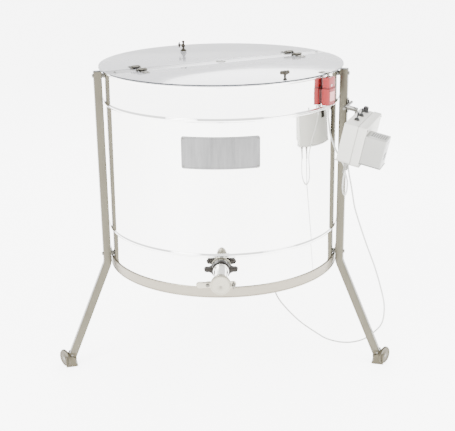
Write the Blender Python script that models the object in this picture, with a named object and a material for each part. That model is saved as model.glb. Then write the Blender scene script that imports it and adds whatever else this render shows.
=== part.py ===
"""Radial honey extractor: a three-legged stainless drum with two half lids, a spinning comb basket driven
by a motor under the drum, a honey gate, a lid interlock and a control box on the right leg.
Metres, +Z up, the gate towards -Y, standing on the floor at Z = 0."""

import math

import bmesh
import bpy
from mathutils import Matrix, Vector

# Driving dimensions
DRUM_RADIUS = 0.450
DRUM_BOTTOM_Z = 0.416
DRUM_HEIGHT = 0.776
SHEET = 0.0015
LEG_SIZE = 0.030
LEG_WALL = 0.002
LEG_STANDOFF = 0.008
LEG_AZIMUTH = math.radians(75.4)
FOOT_REACH = 0.670
LID_RADIUS = 0.465
LID_THICKNESS = 0.005
BAR_WIDTH = 0.060
BAR_ANGLE = math.radians(27.9)
SHAFT_RADIUS = 0.0125
BASKET_RADIUS = 0.420
GATE_REACH = 0.640
GATE_X = -0.004
MOTOR_OFFSET = 0.200
CABLE_DIAMETER = 0.006

# Clearances
GAP = 0.0003
RUNNING_GAP = 0.00025

# Levels and radii that follow from them
RIM_Z = DRUM_BOTTOM_Z + DRUM_HEIGHT
LID_BOTTOM_Z = RIM_Z + GAP
LID_TOP_Z = LID_BOTTOM_Z + LID_THICKNESS
BAND_HEIGHT = 0.040
BAND_TOP_Z = DRUM_BOTTOM_Z + BAND_HEIGHT
LOWER_BEAD_Z = DRUM_BOTTOM_Z + 0.161
UPPER_BEAD_Z = DRUM_BOTTOM_Z + 0.653
BEAD_REACH = 0.0040
BEAD_HALF_HEIGHT = 0.0060
PIPE_RADIUS = 0.025
PIPE_WALL = 0.002
PIPE_Z = DRUM_BOTTOM_Z + 0.1225
FLOOR_EDGE_Z = PIPE_Z - 0.027
FLOOR_RISE = 0.048
LEG_CENTRE = DRUM_RADIUS + LEG_STANDOFF + LEG_SIZE / 2
LEG_INNER = LEG_CENTRE - LEG_SIZE / 2
LEG_OUTER = LEG_CENTRE + LEG_SIZE / 2
LEG_TOP_Z = LID_TOP_Z - 0.012
LEG_BEND_Z = DRUM_BOTTOM_Z + 0.012
LEG_END = (FOOT_REACH - 0.036, 0.042)
CHEEK_SWING = {"left": math.radians(28), "right": math.radians(-28), "rear": 0.0}
BOLT_LEVELS = {"upper": RIM_Z - 0.022, "lower": DRUM_BOTTOM_Z + 0.050}
HINGE_STATIONS = {"left": -0.339, "right": 0.321}
HINGE_OFFSET = BAR_WIDTH / 2 + 0.0022
HINGE_RISE = 0.0065
BASKET_BOTTOM_Z = DRUM_BOTTOM_Z + 0.185
BASKET_TOP_Z = RIM_Z - 0.130
BEAM_Z = DRUM_BOTTOM_Z + 0.007
BELT_Z = DRUM_BOTTOM_Z + 0.031
ROTOR_PULLEY_RADIUS = 0.090
MOTOR_PULLEY_RADIUS = 0.030
ROUND_STEPS = 72

# The box of everything but the cables is centred on the origin
FRONT_REACH = GATE_REACH
REAR_REACH = FOOT_REACH
AXIS_Y = (FRONT_REACH - REAR_REACH) / 2

EAR_REACH = 0.044
SWITCH_AZIMUTH = math.radians(55.0)
SWITCH_BACK = DRUM_RADIUS + 0.0060
SWITCH_DEPTH = 0.030
SWITCH_BOTTOM_Z = DRUM_BOTTOM_Z + 0.670
BOX_ANGLE = math.radians(-20)
BOX_CORNER = (0.537, 0.0, DRUM_BOTTOM_Z + 0.627)
BOX_TILT = math.radians(12)
BOX_HEIGHT = 0.140
BOX_SPAN = (-0.210, 0.040)
BRACKET_ROD = (0.4940, DRUM_BOTTOM_Z + 0.639)
GLAND_LENGTH = 0.017
GLAND_PLACES = {"switch_cable_gland": (0.034, -0.187), "motor_cable_gland": (0.036, -0.152)}
MOTOR_TOP_Z = BEAM_Z - 0.005 - GAP
MOTOR_GLAND = (0.109, MOTOR_OFFSET, MOTOR_TOP_Z - 0.075)
LEG_ANGLES = {
    "left": -math.pi / 2 - LEG_AZIMUTH,
    "right": -math.pi / 2 + LEG_AZIMUTH,
    "rear": math.pi / 2,
}


# Scene, materials and object helpers
def clear_scene():
    for obj in list(bpy.data.objects):
        bpy.data.objects.remove(obj, do_unlink=True)


def principled(name, colour, metallic=0.0, roughness=0.5, transmission=0.0):
    material = bpy.data.materials.new(name)
    material.use_nodes = True
    shader = material.node_tree.nodes["Principled BSDF"]
    shader.inputs["Base Color"].default_value = (*colour, 1.0)
    shader.inputs["Metallic"].default_value = metallic
    shader.inputs["Roughness"].default_value = roughness
    shader.inputs["Transmission Weight"].default_value = transmission
    return material


def frame_empty(name, parent=None, location=(0, 0, 0), rotation=(0, 0, 0)):
    empty = bpy.data.objects.new(name, None)
    bpy.context.collection.objects.link(empty)
    empty.parent = parent
    empty.location = location
    empty.rotation_euler = rotation
    return empty


def finish_mesh(name, bm, material, parent=None, location=(0, 0, 0), rotation=(0, 0, 0)):
    bmesh.ops.recalc_face_normals(bm, faces=bm.faces)
    mesh = bpy.data.meshes.new(name)
    bm.to_mesh(mesh)
    bm.free()
    mesh.shade_smooth()
    mesh.set_sharp_from_angle(angle=math.radians(35))
    obj = bpy.data.objects.new(name, mesh)
    if material is not None:
        mesh.materials.append(material)
    bpy.context.collection.objects.link(obj)
    obj.parent = parent
    obj.location = location
    obj.rotation_euler = rotation
    return obj


def as_helper(obj):
    obj.hide_render = True
    obj.display_type = "WIRE"
    return obj


def combine(target, others, operation):
    for other in others:
        modifier = target.modifiers.new(operation.title(), "BOOLEAN")
        modifier.operation = operation
        modifier.object = as_helper(other)
        modifier.solver = "EXACT"
    return target


def bevelled(obj, width, segments=2):
    modifier = obj.modifiers.new("Bevel", "BEVEL")
    modifier.width = width
    modifier.segments = segments
    modifier.limit_method = "ANGLE"
    return obj


# Shape helpers
def turned_mesh(outline, steps, bm=None):
    """A closed outline of (radius, z) points spun round Z."""
    bm = bm or bmesh.new()
    rings = []
    for radius, z in outline:
        if radius < 1e-7:
            rings.append([bm.verts.new((0, 0, z))] * steps)
            continue
        angles = [2 * math.pi * step / steps for step in range(steps)]
        rings.append([bm.verts.new((radius * math.cos(a), radius * math.sin(a), z)) for a in angles])
    for index, ring in enumerate(rings):
        following = rings[(index + 1) % len(rings)]
        for step in range(steps):
            after = (step + 1) % steps
            corners = [ring[step], ring[after], following[after], following[step]]
            corners = [v for place, v in enumerate(corners) if v not in corners[:place]]
            if len(corners) > 2:
                bm.faces.new(corners)
    return bm


def turned(name, outline, material, parent=None, location=(0, 0, 0), rotation=(0, 0, 0), steps=24):
    return finish_mesh(name, turned_mesh(outline, steps), material, parent, location, rotation)


def prism_mesh(outline, low, high):
    """A closed outline of (x, y) points, extruded along Z from low to high."""
    bm = bmesh.new()
    bottom = [bm.verts.new((x, y, low)) for x, y in outline]
    top = [bm.verts.new((x, y, high)) for x, y in outline]
    bm.faces.new(bottom)
    bm.faces.new(top)
    for index in range(len(outline)):
        after = (index + 1) % len(outline)
        bm.faces.new((bottom[index], bottom[after], top[after], top[index]))
    return bm


def prism(name, outline, low, high, material, parent=None, location=(0, 0, 0), rotation=(0, 0, 0)):
    return finish_mesh(name, prism_mesh(outline, low, high), material, parent, location, rotation)


def block(name, low, high, material=None, parent=None, location=(0, 0, 0), rotation=(0, 0, 0)):
    outline = [(low[0], low[1]), (high[0], low[1]), (high[0], high[1]), (low[0], high[1])]
    return prism(name, outline, low[2], high[2], material, parent, location, rotation)


def rod(name, radius, low, high, parent=None, location=(0, 0, 0), rotation=(0, 0, 0), steps=16,
        material=None):
    outline = [(0, low), (radius, low), (radius, high), (0, high)]
    return turned(name, outline, material, parent, location, rotation, steps)


def arc(centre, radius, start, end, steps):
    """Points of an arc from start to end, in degrees."""
    angles = [math.radians(start + (end - start) * step / steps) for step in range(steps + 1)]
    return [(centre[0] + radius * math.cos(a), centre[1] + radius * math.sin(a)) for a in angles]


def rounded_rectangle(width, height, radius, steps=2, centre=(0, 0)):
    points = []
    corners = ((1, 1, 0), (-1, 1, 90), (-1, -1, 180), (1, -1, 270))
    for side_x, side_y, start in corners:
        middle = (
            centre[0] + side_x * (width / 2 - radius),
            centre[1] + side_y * (height / 2 - radius),
        )
        points += arc(middle, radius, start, start + 90, steps)
    return points


def ring_section(inner, outer, low, high):
    return [(inner, low), (outer, low), (outer, high), (inner, high)]


def drum_body(machine, steel):
    """The wall with two rolled beads and a rolled rim, its cone floor, and the band round its foot."""
    outer = DRUM_RADIUS
    inner = DRUM_RADIUS - SHEET
    reach = DRUM_RADIUS + BEAD_REACH
    outline = [(inner, DRUM_BOTTOM_Z + 0.002), (outer, DRUM_BOTTOM_Z + 0.002)]
    for level in (LOWER_BEAD_Z, UPPER_BEAD_Z):
        outline += [
            (outer, level - BEAD_HALF_HEIGHT),
            (reach - 0.0006, level - BEAD_HALF_HEIGHT / 2),
            (reach, level),
            (reach - 0.0006, level + BEAD_HALF_HEIGHT / 2),
            (outer, level + BEAD_HALF_HEIGHT),
        ]
    outline += [(outer, RIM_Z - 0.010), (reach, RIM_Z - 0.007), (reach, RIM_Z - 0.0015), (outer, RIM_Z)]
    outline += [(inner, RIM_Z)]
    shell = turned("drum_shell", outline, steel["drum"], machine, steps=ROUND_STEPS)
    outlet = rod("outlet_hole", PIPE_RADIUS + GAP, -0.02, 0.02, machine, (GATE_X, -DRUM_RADIUS, PIPE_Z),
                 (math.pi / 2, 0, 0), 24)
    combine(shell, [outlet], "DIFFERENCE")

    edge = inner - GAP
    hub = 0.0305
    thickness = 0.002
    floor = [
        (hub, FLOOR_EDGE_Z + FLOOR_RISE - thickness),
        (edge, FLOOR_EDGE_Z - thickness),
        (edge, FLOOR_EDGE_Z),
        (hub, FLOOR_EDGE_Z + FLOOR_RISE),
    ]
    turned("drum_floor", floor, steel["satin"], machine, steps=ROUND_STEPS)
    band = ring_section(outer + GAP, reach, DRUM_BOTTOM_Z, BAND_TOP_Z)
    turned("base_band", band, steel["satin"], machine, steps=ROUND_STEPS)


def leg_path():
    """The centre line of a leg, radius and height: straight down the drum, a bend, then splayed out."""
    splay = math.atan2(LEG_END[0] - LEG_CENTRE, LEG_BEND_Z - LEG_END[1])
    bend_radius = 0.060
    setback = bend_radius * math.tan(splay / 2)
    path = [(LEG_CENTRE, LEG_TOP_Z), (LEG_CENTRE, LEG_BEND_Z + setback)]
    bend_steps = 4
    for step in range(1, bend_steps + 1):
        turn = splay * step / bend_steps
        path.append((
            LEG_CENTRE + bend_radius * (1 - math.cos(turn)),
            LEG_BEND_Z + setback - bend_radius * math.sin(turn),
        ))
    path.append((LEG_END[0], LEG_END[1]))
    return path, splay


def swept_tube(path, outer, inner):
    """A hollow section carried along a path in the XZ plane, open at both ends."""
    bm = bmesh.new()
    sections = []
    for index, (x, z) in enumerate(path):
        before = Vector(path[max(index - 1, 0)])
        after = Vector(path[min(index + 1, len(path) - 1)])
        run = (after - before).normalized()
        side = Vector((-run.y, run.x))
        loops = []
        for outline in (outer, inner):
            loops.append([bm.verts.new((x + side.x * a, b, z + side.y * a)) for a, b in outline])
        sections.append(loops)
    count = len(outer)
    for first, second in zip(sections, sections[1:]):
        for loop in (0, 1):
            for point in range(count):
                after = (point + 1) % count
                bm.faces.new((first[loop][point], first[loop][after], second[loop][after],
                              second[loop][point]))
    for section in (sections[0], sections[-1]):
        for point in range(count):
            after = (point + 1) % count
            bm.faces.new((section[0][point], section[0][after], section[1][after], section[1][point]))
    return bm


def legs(frames, steel):
    """Three square tubes with the bolts that hold them off the drum, and their feet."""
    path, splay = leg_path()
    outer = rounded_rectangle(LEG_SIZE, LEG_SIZE, 0.004)
    inside = LEG_SIZE - 2 * LEG_WALL
    inner = rounded_rectangle(inside, inside, 0.0022)
    along_x = (0, math.pi / 2, 0)
    for side, frame in frames.items():
        leg = finish_mesh(f"leg_{side}", swept_tube(path, outer, inner), steel["leg"], frame)
        holes = []
        for level, height in BOLT_LEVELS.items():
            holes.append(rod(f"{side}_{level}_bolt_hole", 0.0045, LEG_INNER - 0.01, LEG_OUTER + 0.01, frame,
                             (0, 0, height), along_x, 12))
            bolt = [
                (0, DRUM_RADIUS + 2 * GAP),
                (0.010, DRUM_RADIUS + 2 * GAP),
                (0.010, LEG_INNER - GAP),
                (0.004, LEG_INNER - GAP),
                (0.004, LEG_OUTER + GAP),
                (0.0075, LEG_OUTER + GAP),
                (0.0065, LEG_OUTER + 0.004),
                (0, LEG_OUTER + 0.0055),
            ]
            turned(f"leg_bolt_{side}_{level}", bolt, steel["bolt"], frame, (0, 0, height), along_x, 12)
        combine(leg, holes, "DIFFERENCE")
        foot(side, frame, splay, steel)


def foot(side, frame, splay, steel):
    """A cast foot: a saddle square to the leg, a sole along the floor, and a round cheek facing outwards."""
    end = Vector(LEG_END)
    down = Vector((math.sin(splay), -math.cos(splay)))
    across = Vector((math.cos(splay), math.sin(splay)))
    saddle = end + down * GAP
    high = saddle + across * 0.0165
    low = saddle - across * 0.0165
    cheek_thickness = 0.010
    cheek_radius = 0.035
    cheek_x = FOOT_REACH - cheek_thickness
    profile = [
        (FOOT_REACH - 0.054, 0.003),
        (FOOT_REACH - 0.046, 0.0),
        (cheek_x + 0.004, 0.0),
        (cheek_x + 0.004, 0.046),
        (high.x, high.y),
        (low.x, low.y),
        (FOOT_REACH - 0.0465, 0.024),
        (FOOT_REACH - 0.0515, 0.013),
    ]
    body = prism(f"foot_{side}", profile, -0.022, 0.022, steel["foot"], frame, rotation=(math.pi / 2, 0, 0))
    cheek_steps = 32
    cheek_outline = [
        (0, 0),
        (cheek_radius / math.cos(math.pi / cheek_steps), 0),
        (cheek_radius / math.cos(math.pi / cheek_steps), cheek_thickness - 0.002),
        (cheek_radius - 0.002, cheek_thickness),
        (0, cheek_thickness),
    ]
    swing = frame_empty(f"{side}_cheek_swing", frame, (cheek_x, 0, cheek_radius), (0, 0, CHEEK_SWING[side]))
    cheek = turned(f"{side}_cheek", cheek_outline, None, swing, steps=cheek_steps)
    cheek.rotation_euler = Matrix.Rotation(math.pi / 2, 4, "Y").to_euler()
    cheek.data.transform(Matrix.Rotation(math.pi / cheek_steps, 4, "Z"))
    combine(body, [cheek], "UNION")


def crossbar_body(bar, steel):
    """The channel across the rim, with its hinge lugs and pins."""
    half = BAR_WIDTH / 2
    end_angle = math.degrees(math.asin(half / LID_RADIUS))
    outline = arc((0, 0), LID_RADIUS - 0.001, -end_angle, end_angle, 4)
    outline += arc((0, 0), LID_RADIUS - 0.001, 180 - end_angle, 180 + end_angle, 4)
    plate = prism("crossbar", outline, LID_BOTTOM_Z, LID_TOP_Z, steel["satin"], bar)
    joined = []
    for side in (-1, 1):
        low, high = sorted((side * (half - 0.004), side * (half - 0.001)))
        joined.append(block(f"flange_{side}", (-0.440, low, LID_BOTTOM_Z - 0.025),
                            (0.440, high, LID_BOTTOM_Z + 0.001),
                            None, bar))
        for station in HINGE_STATIONS.values():
            for end in (-1, 1):
                middle = station + end * 0.017
                near, far = sorted((side * (half - 0.010), side * (HINGE_OFFSET + 0.002)))
                joined.append(block(f"lug_{side}_{station}_{end}",
                                    (middle - 0.003, near, LID_TOP_Z + 0.0006),
                                    (middle + 0.003, far, LID_TOP_Z + HINGE_RISE + 0.004), None, bar))
                low_y, high_y = sorted((side * (half - 0.010), side * (half - 0.002)))
                joined.append(block(f"lug_foot_{side}_{station}_{end}",
                                    (middle - 0.003, low_y, LID_TOP_Z - 0.001),
                                    (middle + 0.003, high_y, LID_TOP_Z + 0.002), None, bar))
            joined.append(rod(f"pin_{side}_{station}", 0.0025, -0.018, 0.018, bar,
                              (station, side * HINGE_OFFSET, LID_TOP_Z + HINGE_RISE), (0, math.pi / 2,
                                                                                       0), 12))
    combine(plate, joined, "UNION")


def lids(bar, plastics, steel):
    """Two half discs of clear sheet, each hinged to the crossbar by two steel straps."""
    names = {"front": -1, "rear": 1}
    for name, side in names.items():
        edge = BAR_WIDTH / 2 + 0.0025
        start = math.degrees(math.asin(edge / LID_RADIUS))
        outline = arc((0, 0), LID_RADIUS, start, 180 - start, 36)
        outline = [(x, side * y) for x, y in outline]
        pivot = frame_empty(f"{name}_lid_hinge", bar, (0, side * HINGE_OFFSET, LID_TOP_Z + HINGE_RISE))
        offset = (0, -side * HINGE_OFFSET, -LID_TOP_Z - HINGE_RISE)
        prism(f"lid_{name}", outline, LID_BOTTOM_Z, LID_TOP_Z, plastics["lid"], pivot, offset)
        for end, station in HINGE_STATIONS.items():
            hinge_strap(f"hinge_{name}_{end}", side, station, pivot, steel)


def hinge_strap(name, side, station, pivot, steel):
    """A plate on the lid with a knuckle round the hinge pin."""
    half_width = 0.0125
    plate_low = -HINGE_RISE + GAP
    near, far = sorted((side * 0.001, side * 0.045))
    plate = block(name, (station - half_width, near, plate_low),
                  (station + half_width, far, plate_low + 0.003),
                  steel["bolt"], pivot)
    along_x = (0, math.pi / 2, 0)
    knuckle = rod(f"{name}_knuckle", 0.0058, -half_width, half_width, pivot, (station, 0, 0), along_x, 16)
    bore = rod(f"{name}_bore", 0.0030, -0.02, 0.02, pivot, (station, 0, 0), along_x, 12)
    combine(plate, [knuckle], "UNION")
    combine(plate, [bore], "DIFFERENCE")


def wing_outline(span, hub, lobe):
    """The face of a two-lobed wing: round lobes at both ends of a narrower waist."""
    reach = span / 2 - lobe
    points = arc((reach, 0), lobe, -120, 120, 8)
    points += arc((0, 0), hub, 60, 120, 2)
    points += arc((-reach, 0), lobe, 60, 300, 8)
    points += arc((0, 0), hub, 240, 300, 2)
    return points


def lid_knobs(bar, materials):
    """A winged screw on the front lid, and a post with a cross knob on its side on the rear lid."""
    front_place = (0.017, -0.446, LID_TOP_Z + GAP)
    front = frame_empty("front_knob_axis", bar, front_place)
    stem = turned("lid_knob_front", [(0, 0), (0.007, 0), (0.007, 0.004), (0.004, 0.006), (0.004, 0.016),
                                     (0.008, 0.018), (0.008, 0.026), (0,
                                                                      0.027)], materials["dark_metal"], front)
    wings = prism("front_wings", wing_outline(0.036, 0.006, 0.006), -0.003, 0.003, None, front,
                  (0, 0, 0.025), (math.pi / 2, 0, 0))
    combine(stem, [wings], "UNION")

    rear_place = (-0.012, 0.310, LID_TOP_Z + GAP)
    rear = frame_empty("rear_knob_axis", bar, rear_place, (0, 0, -BAR_ANGLE))
    post = turned("lid_post_rear", [(0, 0), (0.013, 0), (0.012, 0.004), (0.005, 0.009), (0.004, 0.014),
                                    (0.007, 0.017),
                                    (0.008, 0.022), (0.006, 0.027), (0.004, 0.029), (0.004,
                                                                                     0.033), (0.006, 0.036),
                                    (0.005, 0.041), (0, 0.042)], materials["dark_metal"], rear)
    spindle = rod("post_spindle", 0.003, -0.012, 0.0, rear, (0, 0, 0.0245), (0, math.pi / 2, 0), 12)
    combine(post, [spindle], "UNION")
    hub = turned("lid_cross_knob", [(0, 0), (0.006, 0), (0.006, 0.008), (0, 0.009)],
                 materials["dark_metal"], rear,
                 (-0.012 - GAP, 0, 0.0245), (0, -math.pi / 2, 0), 16)
    arms = []
    for turn in (45, 135):
        arms.append(block(f"cross_arm_{turn}", (-0.013, -0.003, 0.0015), (0.013, 0.003, 0.0065), None, rear,
                          (-0.012 - GAP, 0, 0.0245),
                          (Matrix.Rotation(-math.pi / 2, 4, "Y") @ Matrix.Rotation(math.radians(turn), 4,
                                                                                   "Z")
                           ).to_euler()))
    combine(hub, arms, "UNION")


def bearings(machine, steel):
    """The cup under the crossbar that holds the shaft's top, and the long bush in the cone's centre."""
    bore = SHAFT_RADIUS + RUNNING_GAP
    top = LID_BOTTOM_Z - GAP
    cup = [
        (0, top),
        (0, top - 0.006),
        (bore, top - 0.006),
        (bore, top - 0.045),
        (0.020, top - 0.045),
        (0.020, top - 0.008),
        (0.025, top - 0.006),
        (0.025, top),
    ]
    turned("upper_bearing", cup, steel["bolt"], machine, steps=32)
    cone_top = FLOOR_EDGE_Z + FLOOR_RISE
    flange = cone_top - 0.006
    bush = [
        (bore, cone_top - 0.055),
        (0.028, cone_top - 0.055),
        (0.028, flange - 0.006),
        (0.045, flange - 0.006),
        (0.045, flange),
        (0.0300, flange),
        (0.0300, cone_top + 0.012),
        (bore, cone_top + 0.012),
    ]
    turned("lower_bearing", bush, steel["bolt"], machine, steps=32)


def basket(machine, steel):
    """The shaft and the comb basket: two spoked wheels with an inner and an outer ring, and three posts."""
    shaft = [
        (0, BELT_Z - 0.014),
        (SHAFT_RADIUS, BELT_Z - 0.014),
        (SHAFT_RADIUS, LID_BOTTOM_Z - 0.010),
        (0, LID_BOTTOM_Z - 0.010),
    ]
    turned("rotor_shaft", shaft, steel["satin"], machine, steps=24)
    wheels = {"basket_lower_wheel": BASKET_BOTTOM_Z, "basket_upper_wheel": BASKET_TOP_Z}
    section = 0.010
    for name, level in wheels.items():
        high = level + section
        wheel = turned(name, ring_section(BASKET_RADIUS - section, BASKET_RADIUS, level, high),
                       steel["satin"], machine,
                       steps=48)
        inner_ring = turned(f"{name}_inner_ring", ring_section(0.100, 0.108, level + 0.001, high - 0.001),
                            None, machine,
                            steps=32)
        hub = turned(f"{name}_hub", ring_section(0.016, 0.026, level - 0.004, high + 0.010), None, machine)
        spokes = []
        for quarter in range(4):
            spokes.append(block(f"{name}_spoke_{quarter}", (0.020, -0.004, level + 0.0015),
                                (BASKET_RADIUS - 0.004, 0.004, high - 0.0015), None, machine,
                                rotation=(0, 0, quarter * math.pi / 2)))
        combine(wheel, [inner_ring, hub, *spokes], "UNION")
        bore = rod(f"{name}_bore", SHAFT_RADIUS + GAP, level - 0.03, high + 0.03, machine, steps=24)
        combine(wheel, [bore], "DIFFERENCE")
    for index in range(3):
        angle = math.pi / 6 + index * 2 * math.pi / 3
        place = ((BASKET_RADIUS - section / 2) * math.cos(angle),
                 (BASKET_RADIUS - section / 2) * math.sin(angle), 0)
        rod(f"basket_post_{index + 1}", 0.004, BASKET_BOTTOM_Z + section + GAP, BASKET_TOP_Z - GAP,
            machine, place,
            steps=10, material=steel["satin"])


def pulley_outline(radius, bore):
    """A flat-belt pulley with two thin flanges, centred on Z = 0."""
    return [
        (bore, -0.011),
        (radius + 0.004, -0.011),
        (radius + 0.004, -0.0085),
        (radius, -0.0065),
        (radius, 0.0065),
        (radius + 0.004, 0.0085),
        (radius + 0.004, 0.011),
        (bore, 0.011),
    ]


def drive(machine, steel, materials):
    """The motor on its beam under the drum, with a belt from its pulley to the shaft's."""
    turned("rotor_pulley", pulley_outline(ROTOR_PULLEY_RADIUS, SHAFT_RADIUS + GAP), steel["bolt"], machine,
           (0, 0, BELT_Z), steps=36)
    motor_place = (0, MOTOR_OFFSET, 0)
    pulley = pulley_outline(MOTOR_PULLEY_RADIUS, 0.008)
    pulley = [(0, -0.040), (0.008, -0.040), *pulley[:7], (0, 0.011)]
    turned("motor_pulley", pulley, steel["bolt"], machine, (0, MOTOR_OFFSET, BELT_Z), steps=24)

    lean = math.degrees(math.asin((ROTOR_PULLEY_RADIUS - MOTOR_PULLEY_RADIUS) / MOTOR_OFFSET))
    loops = []
    for offset in (GAP * 2, GAP * 2 + 0.003):
        big = (ROTOR_PULLEY_RADIUS + offset) / math.cos(math.pi / 36)
        small = (MOTOR_PULLEY_RADIUS + offset) / math.cos(math.pi / 24)
        points = arc((0, 0), big, 180 - lean, 360 + lean, 22)
        points += arc((0, MOTOR_OFFSET), small, lean, 180 - lean, 10)
        loops.append(points)
    bm = bmesh.new()
    layers = []
    for height in (-0.006, 0.006):
        layers.append([[bm.verts.new((x, y, height)) for x, y in loop] for loop in loops])
    count = len(loops[0])
    (low_in, low_out), (high_in, high_out) = layers
    for first, second in ((low_in, low_out), (low_out, high_out), (high_out, high_in), (high_in, low_in)):
        for point in range(count):
            after = (point + 1) % count
            bm.faces.new((first[point], first[after], second[after], second[point]))
    finish_mesh("drive_belt", bm, materials["rubber"], machine, (0, 0, BELT_Z))

    half = 0.040
    end_angle = math.degrees(math.asin(half / DRUM_RADIUS))
    rim = DRUM_RADIUS - SHEET - 2 * GAP
    outline = arc((0, 0), rim, 90 - end_angle, 90 + end_angle, 4)
    outline += arc((0, 0), rim, 270 - end_angle, 270 + end_angle, 4)
    beam = prism("motor_beam", outline, BEAM_Z - 0.005, BEAM_Z, steel["satin"], machine)
    hole = rod("beam_hole", 0.012, -0.02, 0.02, machine, (0, MOTOR_OFFSET, BEAM_Z))
    combine(beam, [hole], "DIFFERENCE")

    top = MOTOR_TOP_Z
    body = [
        (0, top - 0.025),
        (0.009, top - 0.025),
        (0.009, top),
        (0.036, top),
        (0.036, top - 0.010),
        (0.055, top - 0.014),
        (0.055, top - 0.140),
        (0.058, top - 0.142),
        (0.058, top - 0.176),
        (0.050, top - 0.182),
        (0, top - 0.182),
    ]
    turned("motor", body, materials["motor"], machine, motor_place, steps=32)
    terminal = block("motor_terminal_box", (0.0553, -0.030, top - 0.105), (0.095, 0.030, top - 0.045),
                     materials["dark"],
                     machine, motor_place)
    gland = turned("motor_gland_part", [(0, -0.004), (0.009, -0.004), (0.009, 0.006), (0.007, 0.008),
                                        (0.0055, 0.014),
                                        (0, 0.014)], None, machine, (MOTOR_GLAND[0] - 0.014, MOTOR_OFFSET,
                                                                     MOTOR_GLAND[2]),
                   (0, math.pi / 2, 0), 12)
    combine(terminal, [gland], "UNION")


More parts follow.
